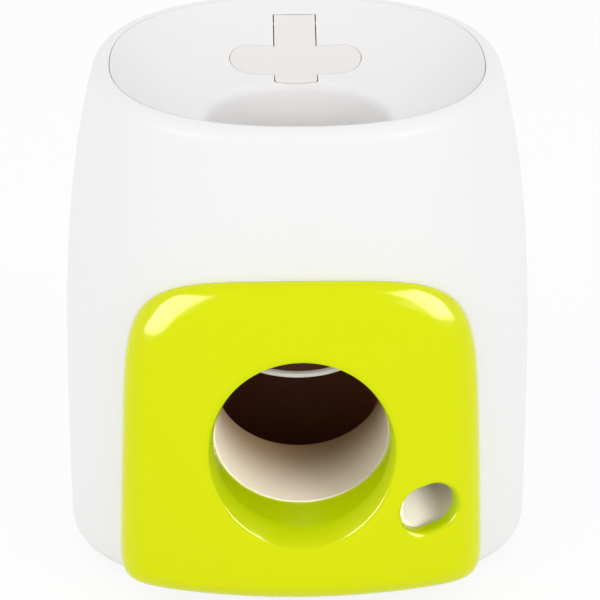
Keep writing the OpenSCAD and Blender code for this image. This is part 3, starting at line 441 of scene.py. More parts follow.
class Finish(Enum):
    """The finishes of the dispenser, by the record's material slots."""

    WHITE_SHELL = Moulded("white_shell", (0.86, 0.86, 0.862), 0.34)
    # The dish and the lid are the shell's white plastic, set darker as painted shade for the bowl under the
    # rim, which gets less light.
    WHITE_DISH = Moulded("white_dish", (0.80, 0.79, 0.793), 0.42)
    WHITE_LID = Moulded("white_lid", (0.77, 0.742, 0.72), 0.40)
    LIME_PANEL = RecessShadedMoulded(
        "lime_panel",
        (0.71, 0.765, 0.0006),
        0.14,
        cloud=0.015,
        skin=0.012,
        skin_scale=700.0,
        specular=0.13,
        tint=(1.0, 0.98, 0.75),
        # deep is a darker lime on the walls of the ball and treat outlets: painted shade where the face dips
        # in.
        deep=(0.51, 0.67, 0.0006),
        recesses=(
            Recess(0.0, -0.0975, 0.0845, wall_r=0.0385, mouth_r=0.0448, slope=math.radians(11.8)),
            Recess(0.058, 0.0, 0.0547, wall_r=0.0098, mouth_r=0.0135, tilt=math.radians(15), stretch=1.18),
        ),
    )
    # The white tubes are white plastic, their base set darker and warmer than white: painted shade for their
    # insides.
    WHITE_TUBE = Moulded("white_tube", (0.66, 0.62, 0.54), 0.45)
    # The outlet tube is white plastic set darker and warmer than white, darkening to brown towards the rear:
    # painted shade inside the tube.
    OUTLET_TUBE = DepthShadedMoulded(
        "outlet_tube", (0.78, 0.69, 0.58), 0.45, deep=(0.25, 0.155, 0.08), start=-0.08, end=-0.03
    )
    WHITE_INSIDE = Moulded("white_inside", (0.80, 0.80, 0.785), 0.5, skin=0.1)
    WHITE_BASE = Moulded("white_base", (0.80, 0.80, 0.79), 0.55, skin=0.3, skin_scale=1500.0)
    # The chamber is dark plastic, with its reddish brown set to the tone of the shade inside the outlet as
    # painted shade.
    DARK_CHAMBER = Moulded("dark_chamber", (0.17, 0.05, 0.02), 0.6, cloud=0.15, skin=0.2)
    GREY_MECHANISM = Moulded("grey_mechanism", (0.33, 0.33, 0.32), 0.48, cloud=0.05, skin=0.1)
    SOFT_LIP = Rubbery("soft_lip", (0.88, 0.87, 0.84), (0.92, 0.91, 0.89), 0.6)
    FOOT_RUBBER = Rubbery("foot_rubber", (0.018, 0.018, 0.018), (0.06, 0.06, 0.06))
    STEEL = Turned("steel", (0.56, 0.57, 0.58), 0.32)


# Mesh helpers


def grid_faces(rows: int, columns: int, closed_rows: bool) -> Array:
    """Quads of a grid whose columns close on themselves.

    Args:
        rows: Number of rings.
        columns: Points in each ring.
        closed_rows: Whether the last ring joins the first.

    Returns:
        Array of quads, four indices each.
    """
    row = np.arange(rows if closed_rows else rows - 1)[:, None]
    column = np.arange(columns)[None, :]
    after, right = (row + 1) % rows, (column + 1) % columns
    corners = [(row, column), (row, right), (after, right), (after, column)]
    index = [down * columns + along for down, along in corners]
    return np.stack(np.broadcast_arrays(*index), axis=-1).reshape(-1, 4)


class Cut(Enum):
    """Ways to join two solids."""

    TAKE = "DIFFERENCE"
    KEEP = "INTERSECT"
    JOIN = "UNION"


def add_object(name: str, data: bpy.types.ID) -> bpy.types.Object:
    """Makes an object and links it into the scene.

    Args:
        name: Name of the object.
        data: Its mesh, lamp or camera.

    Returns:
        The new object.
    """
    made = bpy.data.objects.new(name, data)
    bpy.context.scene.collection.objects.link(made)
    return made


class Placer:
    """Puts points of the housing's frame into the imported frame, in metres."""

    def __init__(self) -> None:
        """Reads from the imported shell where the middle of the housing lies."""
        low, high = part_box("outer_shell")
        self.shift = np.array([0.0, (low.y + high.y) / 2, 0.0])

    def __call__(self, points: Array) -> Array:
        """Converts millimetres in the housing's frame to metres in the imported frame."""
        return points * MM + self.shift

    def solid(self, name: str, rings: Array, closed_rows: bool, flip: bool = False) -> bpy.types.Object:
        """Makes a closed mesh object from rings of points.

        Rings that don't close on each other get a face over the first and the last ring.

        Args:
            name: Name of the object.
            rings: Points as rings x points x 3.
            closed_rows: Whether the last ring joins the first.
            flip: Whether the faces are turned round.

        Returns:
            The new object.
        """
        rows, columns, _ = rings.shape
        faces = grid_faces(rows, columns, closed_rows).tolist()
        if not closed_rows:
            last = (rows - 1) * columns
            faces.append(list(range(columns))[::-1])
            faces.append(list(range(last, last + columns)))
        if flip:
            faces = [face[::-1] for face in faces]
        mesh = bpy.data.meshes.new(name)
        mesh.from_pydata(self(rings.reshape(-1, 3)), [], faces)
        mesh.update()
        return add_object(name, mesh)

    def carve(self, solid: bpy.types.Object, cut: Cut, rings: Array) -> None:
        """Joins a solid, as the cut says, with the shape that open rings bound."""
        combine(solid, self.solid("tool", rings, closed_rows=False), cut)


def combine(solid: bpy.types.Object, tool: bpy.types.Object, cut: Cut) -> None:
    """Joins a tool to a solid, leaves the result in the solid and removes the tool.

    Args:
        solid: The object that keeps the result.
        tool: The object that cuts or joins it.
        cut: How the two are joined.
    """
    modifier = solid.modifiers.new("cut", "BOOLEAN")
    modifier.operation = cut.value
    modifier.solver = "EXACT"
    modifier.object = tool
    graph = bpy.context.evaluated_depsgraph_get()
    result = bpy.data.meshes.new_from_object(solid.evaluated_get(graph))
    old = solid.data
    solid.modifiers.clear()
    solid.data = result
    result.name = solid.name
    bpy.data.meshes.remove(old)
    tool_mesh = tool.data
    bpy.data.objects.remove(tool)
    bpy.data.meshes.remove(tool_mesh)


def finish_piece(piece: bpy.types.Object, finish: Finish, node: str, body: str, crease: float = 32.0) -> None:
    """Smooths a piece, gives it its finish and sets it in the place of its CAD node.

    Args:
        piece: The new object.
        finish: Its finish, which also names its material slot.
        node: The CAD node that it stands for.
        body: The CAD body that it moves with.
        crease: Angle between faces past which an edge stays sharp, in degrees.
    """
    mesh = piece.data
    mesh.polygons.foreach_set("use_smooth", np.ones(len(mesh.polygons), dtype=bool))
    mesh.set_sharp_from_angle(angle=math.radians(crease))
    mesh.materials.clear()
    mesh.materials.append(material_of(finish))
    mesh.polygons.foreach_set("material_index", np.zeros(len(mesh.polygons), dtype=np.int32))
    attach(piece, body)
    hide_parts(node)
    LOG.info("built %s for %s: %d faces", piece.name, node, len(mesh.polygons))


def material_of(finish: Finish) -> bpy.types.Material:
    """The finish's material, made once."""
    return bpy.data.materials.get(KEPT + finish.value.name) or finish.value.material()


def per_ring(values: Sequence[float]) -> Array:
    """Numbers as a column, one for each ring."""
    return np.asarray(values, dtype=float)[:, None]


def raised(flat: Array, height: Array) -> Array:
    """Points of a plan, x and y, with their height as z."""
    return np.concatenate([flat, height[..., None]], axis=-1)


def mix(first: Array, second: Array, share: Array) -> Array:
    """Value on the straight line from first to second."""
    return first + (second - first) * share


def oval(angle: Array, a: Array, b: Array, power: Array) -> Array:
    """Point of a squarish oval at an angle: the radius is (|cos/a|^n + |sin/b|^n)^(-1/n).

    Args:
        angle: Angle about the middle, in radians.
        a: Half width.
        b: Half depth.
        power: The exponent n; 2 is an ellipse and more is squarer.

    Returns:
        Points as the last axis, x and y.
    """
    c, s = np.cos(angle), np.sin(angle)
    radius = ((np.abs(c) / a) ** power + (np.abs(s) / b) ** power) ** (-1 / power)
    return np.stack([radius * c, radius * s], axis=-1)


def turns(count: int) -> Array:
    """Evenly spaced angles of a full turn, in radians."""
    return np.linspace(0.0, 2 * np.pi, count, endpoint=False)


def arc(count: int) -> Array:
    """Angles of a quarter turn, in radians, both ends included."""
    return np.linspace(0.0, np.pi / 2, count)


def cap(count: int) -> Array:
    """Angles of a half turn about zero, in radians, both ends included."""
    return np.linspace(-np.pi / 2, np.pi / 2, count)


# Housing


@dataclass
class Housing:
    """White moulded barrel: a squarish oval carried up a wall that draws in late, to a rolled rim and lip."""

    body_w: float = 223.0
    body_d: float = 180.0
    top_w: float = 188.0
    top_d: float = 168.0
    rim_z: float = 237.4
    rim_slope: float = math.tan(math.radians(6.4))
    wall: float = 3.0
    edge_r: float = 10.0
    roll_r: float = 6.0
    lip_w: float = 7.0
    lip_t: float = 2.6
    lip_fall: float = 0.4
    base_z: float = 4.0
    side_power: float = 3.87
    square_low: float = 2.5
    square_high: float = 2.3
    seat_gap: float = 0.3
    lip_root: float = 1.5
    lip_fillet: float = 2.0
    around: int = 320
    round_steps: int = 9
    roll_steps: int = 11
    wall_steps: int = 44
    lip_steps: int = 4
    inner_steps: int = 20

    @property
    def rim_h(self) -> float:
        """Height of the rim over the bottom edge."""
        return self.rim_z - self.base_z

    def half(self, top: float, low: float, share: Array) -> Array:
        """Half size at a share of the height: low at the bottom, and drawn in by share^side_power."""
        return (top + (low - top) * (1 - np.abs(share) ** self.side_power)) / 2

    def square(self, share: Array) -> Array:
        """Exponent of the oval at a share of the height."""
        return mix(self.square_low, self.square_high, share)

    def rim_plane(self, y: Array) -> Array:
        """Height of the sloping rim at a depth."""
        return self.rim_z + y * self.rim_slope

    def rings(self, share: Array, inset: Array, drop: Array) -> Array:
        """Rings of the wall: an oval at each share of the height, set in, with its height dropped.

        The height is the base plus the share of the way up to the sloping rim plane.

        Args:
            share: Share of the height, per ring.
            inset: Distance inside the outer wall, per ring.
            drop: Distance down, per ring.

        Returns:
            Points as rings x around x 3.
        """
        share, inset, drop = (per_ring(values) for values in (share, inset, drop))
        wide = self.half(self.top_w, self.body_w, share) - inset
        deep = self.half(self.top_d, self.body_d, share) - inset
        p = oval(turns(self.around)[None, :], wide, deep, self.square(share))
        return raised(p, self.base_z + share * (self.rim_plane(p[..., 1]) - self.base_z) - drop)

    def front(self, x: Array, z: Array) -> Array:
        """Depth of the outer front wall at a place, from the oval's equation.

        Args:
            x: Sideways place.
            z: Height.

        Returns:
            Depths, as y.
        """
        share = (z - self.base_z) / (self.rim_plane(-self.body_d / 2) - self.base_z)
        power = self.square(share)
        wide = self.half(self.top_w, self.body_w, share)
        deep = self.half(self.top_d, self.body_d, share)
        return -deep * (1 - (np.abs(x) / wide) ** power) ** (1 / power)

    def profile(self) -> tuple[Array, Array, Array]:
        """Share, inset and drop of each ring: bottom round, wall, rim roll, lip, inner wall, inner round.

        Returns:
            Three arrays of one length.
        """
        h, low, roll = self.rim_h, arc(self.round_steps), arc(self.roll_steps)
        inner, up = self.edge_r - self.wall, low[::-1]
        under = self.lip_fall + self.lip_t
        wall = np.linspace(self.edge_r / h, 1 - self.roll_r / h, self.wall_steps)[1:-1]
        lip = np.linspace(self.roll_r, self.lip_w, self.lip_steps)[1:]
        rise = np.linspace(1 - (under + self.lip_fillet) / h, self.edge_r / h, self.inner_steps)[:-1]
        parts = [
            (self.edge_r * (1 - np.cos(low)) / h, self.edge_r * (1 - np.sin(low)), 0 * low),
            (wall, 0 * wall, 0 * wall),
            (1 - self.roll_r * (1 - np.sin(roll)) / h, self.roll_r * (1 - np.cos(roll)), 0 * roll),
            (1 + 0 * lip, lip, self.lip_fall * (lip - self.roll_r) / (self.lip_w - self.roll_r)),
            ([1, 1], [self.lip_w, self.wall + self.lip_root], [under, under]),
            (rise, self.wall + 0 * rise, 0 * rise),
            ((self.edge_r - inner * np.cos(up)) / h, self.edge_r - inner * np.sin(up), 0 * low),
        ]
        return tuple(np.concatenate(values) for values in zip(*parts))

    def build(self, place: Placer, outlet: "Outlet", treat: "TreatHole") -> None:
        """Makes the shell, with its openings for the outlet tube and the treat chute.

        Args:
            place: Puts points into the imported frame.
            outlet: The ball outlet, which gives the large opening.
            treat: The treat outlet, which gives the small opening.
        """
        shell = place.solid("housing_shell", self.rings(*self.profile()), closed_rows=True, flip=True)
        place.carve(shell, Cut.TAKE, outlet.shell_bore())
        place.carve(shell, Cut.TAKE, treat.chute_bore())
        finish_piece(shell, Finish.WHITE_SHELL, "outer_shell", "housing")


# Top dish and hatch


@dataclass
class Dish:
    """White dish inside the lip: lines from the rim's oval to the throat's circle, sunk as a bowl."""

    housing: Housing
    depth: float = 20.0
    thick: float = 2.5
    throat_r: float = 42.0
    throat_y: float = 22.0
    throat_roll: float = 4.0
    throat_z: float = 196.0
    column_r: float = 40.0
    column_t: float = 2.5
    bowl_power: float = 1.7
    roll_from: float = 0.9
    spigot_h: float = 6.0
    hatch_w: float = 63.0
    hatch_d: float = 21.0
    hatch_y: float = 38.0
    tab_w: float = 20.0
    hinge_y: float = 66.0
    tab_y: float = 21.8
    barrel_r: float = 3.0
    pin_r: float = 1.3
    pin_gap: float = 0.05
    hatch_gap: float = 0.5
    heel: float = 3.65
    heel_gap: float = 0.3
    side_gap: float = 0.05
    pill_share: float = 0.6
    ear_w: float = 4.5
    bar_soft: float = 0.3
    tab_soft: float = 1.2
    throat_ease: float = 0.7
    ease_low: float = 5.0
    ease_high: float = 9.0
    flange_in: float = 2.2
    flange_h: float = 2.0
    prism_over: float = 40.0
    under: tuple[float, ...] = (1, 0.94, 0.87, 0.8, 0.71, 0.62, 0.53, 0.44, 0.36, 0.28, 0.19, 0.1)
    bowl_steps: int = 34
    roll_steps: int = 9
    cap_steps: int = 33
    corner_steps: int = 7
    bar_steps: int = 48

    @property
    def inset(self) -> float:
        """Distance of the dish's edge inside the outer wall."""
        return self.housing.lip_w + self.housing.seat_gap

    @property
    def back(self) -> float:
        """Distance of the dish's rear edge behind the middle."""
        return self.housing.top_d / 2 - self.inset

    @property
    def run(self) -> float:
        """Length of the dish's floor from its rear edge to the throat."""
        return self.back + self.throat_y - self.throat_r

    def bowl(self, u: Array) -> Array:
        """Depth of the bowl at a share of the way from rim to throat: depth (1 - (1 - u)^power)."""
        return self.depth * (1 - np.abs(1 - u) ** self.bowl_power)

    def roll(self, u: Array) -> Array:
        """Extra fall of the throat's rounded edge: a quarter ellipse over the last of the way."""
        q = np.clip((u - self.roll_from) / (1 - self.roll_from), 0, 1)
        return self.throat_roll * (1 - np.sqrt(1 - q * q))

    def bowl_rings(self, u: Array, drop: Array, grow: float) -> Array:
        """Rings of the dish: the mix of rim oval and throat circle at each share, under the rim plane.

        Args:
            u: Share of the way from rim to throat, per ring.
            drop: Depth under the rim plane, per ring.
            grow: Growth of the throat's circle.

        Returns:
            Points as rings x around x 3.
        """
        h = self.housing
        angle = turns(h.around)
        rim = oval(angle, h.top_w / 2 - self.inset, h.top_d / 2 - self.inset, h.square_high)
        edge = np.stack([np.cos(angle), np.sin(angle)], axis=-1) * (self.throat_r + grow) - [0, self.throat_y]
        p = mix(rim[None], edge[None], per_ring(u)[..., None])
        return raised(p, h.rim_plane(p[..., 1]) - per_ring(drop))

    def throat_rings(self, radius: Array, height: Array) -> Array:
        """Level circles about the ball column, one for each radius and height.

        Args:
            radius: Radius, per ring.
            height: Height, per ring.

        Returns:
            Points as rings x around x 3.
        """
        angle = turns(self.housing.around)[None, :]
        x, y = per_ring(radius) * np.cos(angle), per_ring(radius) * np.sin(angle) - self.throat_y
        return np.stack([x, y, per_ring(height) + 0 * x], axis=-1)

    def rings(self) -> Array:
        """All rings of the dish: upper skin, throat, spigot, lower skin and flange.

        Returns:
            Points as rings x around x 3.
        """
        h, under = self.housing, np.array(self.under)
        roll = 1 - (1 - self.roll_from) * np.cos(arc(self.roll_steps)[1:])
        u = np.concatenate([np.linspace(0, self.roll_from, self.bowl_steps), roll])
        inner, outer, low = self.column_r, self.column_r + self.column_t, self.throat_z
        throat = [
            (inner + self.throat_ease, low + self.ease_high),
            (inner, low + self.ease_low),
            (inner, low),
            (outer, low),
            (outer, low + self.spigot_h),
        ]
        rim_in, flange = h.wall + self.flange_in, h.lip_fall + h.lip_t + h.seat_gap
        return np.concatenate(
            [
                self.bowl_rings(u, h.lip_fall + self.bowl(u) + self.roll(u), 0.0),
                self.throat_rings(*zip(*throat)),
                self.bowl_rings(under, h.lip_fall + self.bowl(under) + self.thick, self.thick),
                h.rings([1, 1, 1], [rim_in, rim_in, self.inset], [flange + self.flange_h, flange, flange]),
            ]
        )

    def hinge(self) -> tuple[float, float]:
        """Height of the hinge's axis and lean of the dish over it.

        Returns:
            Height in millimetres and lean in radians.
        """
        h = self.housing
        u = (self.back - self.hinge_y) / self.run
        fall = self.depth * self.bowl_power * (1 - u) ** (self.bowl_power - 1) / self.run
        lean = math.atan(h.rim_slope + fall)
        top = h.rim_plane(self.hinge_y) - h.lip_fall - float(self.bowl(np.array(u)))
        return top - self.barrel_r / math.cos(lean), lean

    def behind(self, along: float) -> float:
        """Depth of a place along the bowl, behind the crest where the hinge's barrel meets it."""
        _, lean = self.hinge()
        return self.hinge_y + along * math.cos(lean) - self.barrel_r * math.sin(lean)

    def outline(self, grow: float, end: float) -> Array:
        """Closed outline of the lid: a pill across the dish with a tab to the front and one to the hinge.

        Args:
            grow: Distance outside the lid's own edge at the tabs; the pill's is a share of it.
            end: Depth at which the hinge tab ends.

        Returns:
            Points as n x 2, in order.
        """
        r, half = self.hatch_d / 2 + grow * self.pill_share, self.tab_w / 2 + grow
        away = (self.hatch_w - self.hatch_d) / 2
        c, s = r * np.cos(cap(self.cap_steps)), r * np.sin(cap(self.cap_steps))
        right = np.stack([away + c, self.hatch_y + s], axis=-1)
        left = np.stack([-away - c, self.hatch_y - s], axis=-1)
        low, high, front = self.hatch_y - r, self.hatch_y + r, self.tab_y - grow
        soft, turn = self.tab_soft, arc(self.corner_steps)
        corner = np.stack([half - soft + soft * np.sin(turn), front + soft - soft * np.cos(turn)], axis=-1)
        rear = [[half, high], [half, end], [-half, end], [-half, high]]
        parts = [corner[::-1] * [-1, 1], corner, [[half, low]], right, rear, left, [[-half, low]]]
        return np.concatenate(parts)

    def prism(self, grow: float, end: float) -> Array:
        """The lid's outline carried straight up from under the dish to over the rim.

        Args:
            grow: Distance outside the lid's own edge.
            end: Depth at which the hinge tab ends.

        Returns:
            Points as 2 x n x 3.
        """
        flat = self.outline(grow, end)
        low, high = self.throat_z, self.housing.rim_z + self.prism_over
        level = np.array([low, high])[:, None, None] * np.ones((1, len(flat), 1))
        return np.concatenate([np.broadcast_to(flat[None], (2, *flat.shape)), level], axis=-1)

    def bar(self, x0: float, x1: float, radius: float, soft: float = 0.0) -> Array:
        """Round bar on the hinge's axis: a circle carried along X, with softened ends.

        Args:
            x0: Left end.
            x1: Right end.
            radius: Radius of the bar.
            soft: Rounding of its ends.

        Returns:
            Points as rings x around x 3.
        """
        z, _ = self.hinge()
        angle = turns(self.bar_steps)[None, :]
        x = np.array([x0, x0 + soft, x1 - soft, x1] if soft else [x0, x1])[:, None]
        r = np.array([radius - soft, radius, radius, radius - soft] if soft else [radius, radius])[:, None]
        return np.stack([x + 0 * angle, self.hinge_y + r * np.cos(angle), z + r * np.sin(angle)], axis=-1)

    def build(self, place: Placer) -> tuple[bpy.types.Object, bpy.types.Object]:
        """Makes the dish with its hatch opening and ears, and the lid cut from the same bowl.

        The lid's tab has a heel behind the hinge, and the dish is hollowed round the heel's swing. The hollow
        is a little wider than the opening, so that no two cuts share a plane.

        Args:
            place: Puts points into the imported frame.

        Returns:
            The dish and the lid.
        """
        half, gap, reach = self.tab_w / 2, self.hatch_gap, self.heel + self.heel_gap
        room, side = math.hypot(self.barrel_r, reach), half + gap + self.side_gap
        names = ("funnel_dish", "treat_lid")
        dish, lid = (place.solid(name, self.rings(), closed_rows=True) for name in names)
        place.carve(dish, Cut.TAKE, self.prism(gap, self.behind(reach)))
        place.carve(dish, Cut.TAKE, self.bar(-side, side, room))
        for way in (-1, 1):
            ends = sorted((way * (half + gap), way * (half + gap + self.ear_w)))
            place.carve(dish, Cut.JOIN, self.bar(*ends, self.barrel_r, self.bar_soft))
        place.carve(lid, Cut.KEEP, self.prism(0.0, self.behind(self.heel)))
        place.carve(lid, Cut.JOIN, self.bar(-half, half, self.barrel_r, self.bar_soft))
        for piece in (dish, lid):
            place.carve(piece, Cut.TAKE, self.bar(-self.tab_w, self.tab_w, self.pin_r + self.pin_gap))
        finish_piece(dish, Finish.WHITE_DISH, "top_funnel", "housing")
        finish_piece(lid, Finish.WHITE_LID, "hatch_lid", "hatch")
        return dish, lid


# Ball outlet, treat outlet and panel


@dataclass
class Outlet:
    """Axis and radii of the sloping ball outlet."""

    face_y: float = 108.3
    z: float = 84.5
    slope: float = math.radians(11.8)
    hole_r: float = 39.8
    hole_wall: float = 2.6
    flare_top: float = 2.0
    flare_foot: float = 5.2
    flare_power: float = 2.0
    edge_share: float = 0.36
    knee_share: float = 2.3
    deep_share: float = 3.4
    tube_front: float = 91.0
    seat_gap: float = 0.3
    cut_from: float = -4.0
    cut_to: float = 60.0
    edge_steps: int = 8
    hollow_steps: int = 11
    bore_steps: int = 192

    @property
    def shell_r(self) -> float:
        """Radius of the opening in the shell."""
        return self.hole_r + self.hole_wall + self.seat_gap

    def on_axis(self, x: Array, up: Array, along: Array) -> Array:
        """Point at a sideways and an upright distance from the axis, and a distance along it.

        Args:
            x: Sideways distance.
            up: Distance square to the axis, upwards.
            along: Distance along the axis, into the housing.

        Returns:
            Points as the last axis.
        """
        c, s = math.cos(self.slope), math.sin(self.slope)
        y, z = -self.face_y + along * c - up * s, self.z + along * s + up * c
        return np.stack(np.broadcast_arrays(x, y, z), axis=-1)

    def flare_width(self, angle: Array) -> Array:
        """Width of the flare round the mouth: small at the top, growing to the foot with a raised sine."""
        share = ((1 - np.sin(angle)) / 2) ** self.flare_power
        return mix(self.flare_top, self.flare_foot, share)

    def flare(self) -> tuple[Array, Array]:
        """Section of the flare, in widths: a small arc at the face, then a hollow curve into the bore.

        The arc stops where its tangent meets the knee, which is the middle point of a quadratic curve that
        runs from there to the bore's wall.

        Returns:
            Distance outside the bore and depth behind the face, per ring.
        """
        drop = self.knee_share - self.edge_share
        stop = math.atan2(drop, 1.0) + math.asin(self.edge_share / math.hypot(1.0, drop))
        t = np.linspace(0, stop, self.edge_steps)
        out, deep = 1 - self.edge_share * np.sin(t), self.edge_share * (1 - np.cos(t))
        s = np.linspace(0, 1, self.hollow_steps)[1:]
        hollow = (1 - s) ** 2 * deep[-1] + 2 * s * (1 - s) * self.knee_share + s**2 * self.deep_share
        return np.concatenate([out, (1 - s) ** 2 * out[-1]]), np.concatenate([deep, hollow])

    def shell_bore(self) -> Array:
        """Opening of the shell for the tube: a circle carried along the axis.

        Returns:
            Points as 2 x around x 3.
        """
        angle = turns(self.bore_steps)[None, :]
        along = per_ring([self.cut_to, self.cut_from])
        return self.on_axis(self.shell_r * np.cos(angle), self.shell_r * np.sin(angle), along)


@dataclass
class TreatHole:
    """Oval treat outlet: a stadium square to the panel's face, with a softened edge."""

    panel: "Panel"
    x: float = 58.0
    z: float = 54.7
    wide: float = 27.0
    high: float = 22.0
    tilt: float = math.radians(15)
    collar: float = 8.0
    sink: float = 1.6
    wall: float = 2.6
    edge_round: float = 3.2
    seat_gap: float = 0.3
    chute_r: float = 14.3
    chute_slope: float = math.radians(26.39)
    chute_cut: float = 48.0
    cut_behind: float = 1.0
    cut_before: float = 6.0
    probe: float = 0.1
    cap_steps: int = 41
    edge_steps: int = 9
    bore_steps: int = 96

    def axes(self) -> tuple[Array, Array, Array, Array]:
        """Middle of the hole on the face, and its long, short and outward directions.

        Returns:
            Four vectors.
        """
        face, x, z, step = self.panel.face, self.x, self.z, self.probe
        slope_x = float(face(x + step, z) - face(x - step, z)) / (2 * step)
        slope_z = float(face(x, z + step) - face(x, z - step)) / (2 * step)
        out = np.array([slope_x, -1.0, slope_z])
        out /= np.linalg.norm(out)
        level = np.cross(np.array([0.0, 0.0, 1.0]), out)
        level /= np.linalg.norm(level)
        rise = np.cross(out, level)
        c, s = math.cos(self.tilt), math.sin(self.tilt)
        middle = np.array([x, float(face(x, z)), z])
        return middle, c * level + s * rise, c * rise - s * level, out

    def tube(self, grow: Array, along: Array) -> Array:
        """Stadium outline, grown by each amount, at each distance along the outward axis.

        Args:
            grow: Growth of the outline, per ring.
            along: Distance outwards from the face, per ring.

        Returns:
            Points as rings x around x 3.
        """
        middle, level, rise, out = self.axes()
        end = cap(self.cap_steps)
        angle = np.concatenate([end, end + np.pi])[None, :]
        away = (self.wide - self.high) / 2 * np.repeat([1.0, -1.0], len(end))[None, :]
        r = self.high / 2 + per_ring(grow)
        a, b = away + r * np.cos(angle), r * np.sin(angle)
        t = per_ring(along) + 0 * a
        return middle + a[..., None] * level + b[..., None] * rise + t[..., None] * out

    def collar_solid(self) -> Array:
        """Collar behind the face, from its sunk front to its rear end."""
        return self.tube([self.wall, self.wall], [-self.collar, -self.sink])

    def cutter(self) -> Array:
        """The hole: straight at the rear, flared by a quarter circle at the face, straight beyond it.

        Returns:
            Points as rings x around x 3.
        """
        q = arc(self.edge_steps)
        flare, along = self.edge_round * (1 - np.cos(q)), self.edge_round * (np.sin(q) - 1)
        grow = np.concatenate([[0.0], flare, [self.edge_round]])
        return self.tube(grow, np.concatenate([[-self.collar - self.cut_behind], along, [self.cut_before]]))

    def chute_bore(self) -> Array:
        """Opening of the shell for the chute: a circle carried along the chute's rising axis.

        Returns:
            Points as 2 x around x 3.
        """
        middle, _, _, out = self.axes()
        foot = middle - (self.collar + self.seat_gap) * out
        foot[0] = self.x
        c, s = math.cos(self.chute_slope), math.sin(self.chute_slope)
        angle = turns(self.bore_steps)[None, :]
        along = per_ring([self.chute_cut, 0.0])
        x, up = self.chute_r * np.cos(angle), self.chute_r * np.sin(angle)
        local = np.stack(np.broadcast_arrays(x, along * c - up * s, along * s + up * c), axis=-1)
        return foot + local


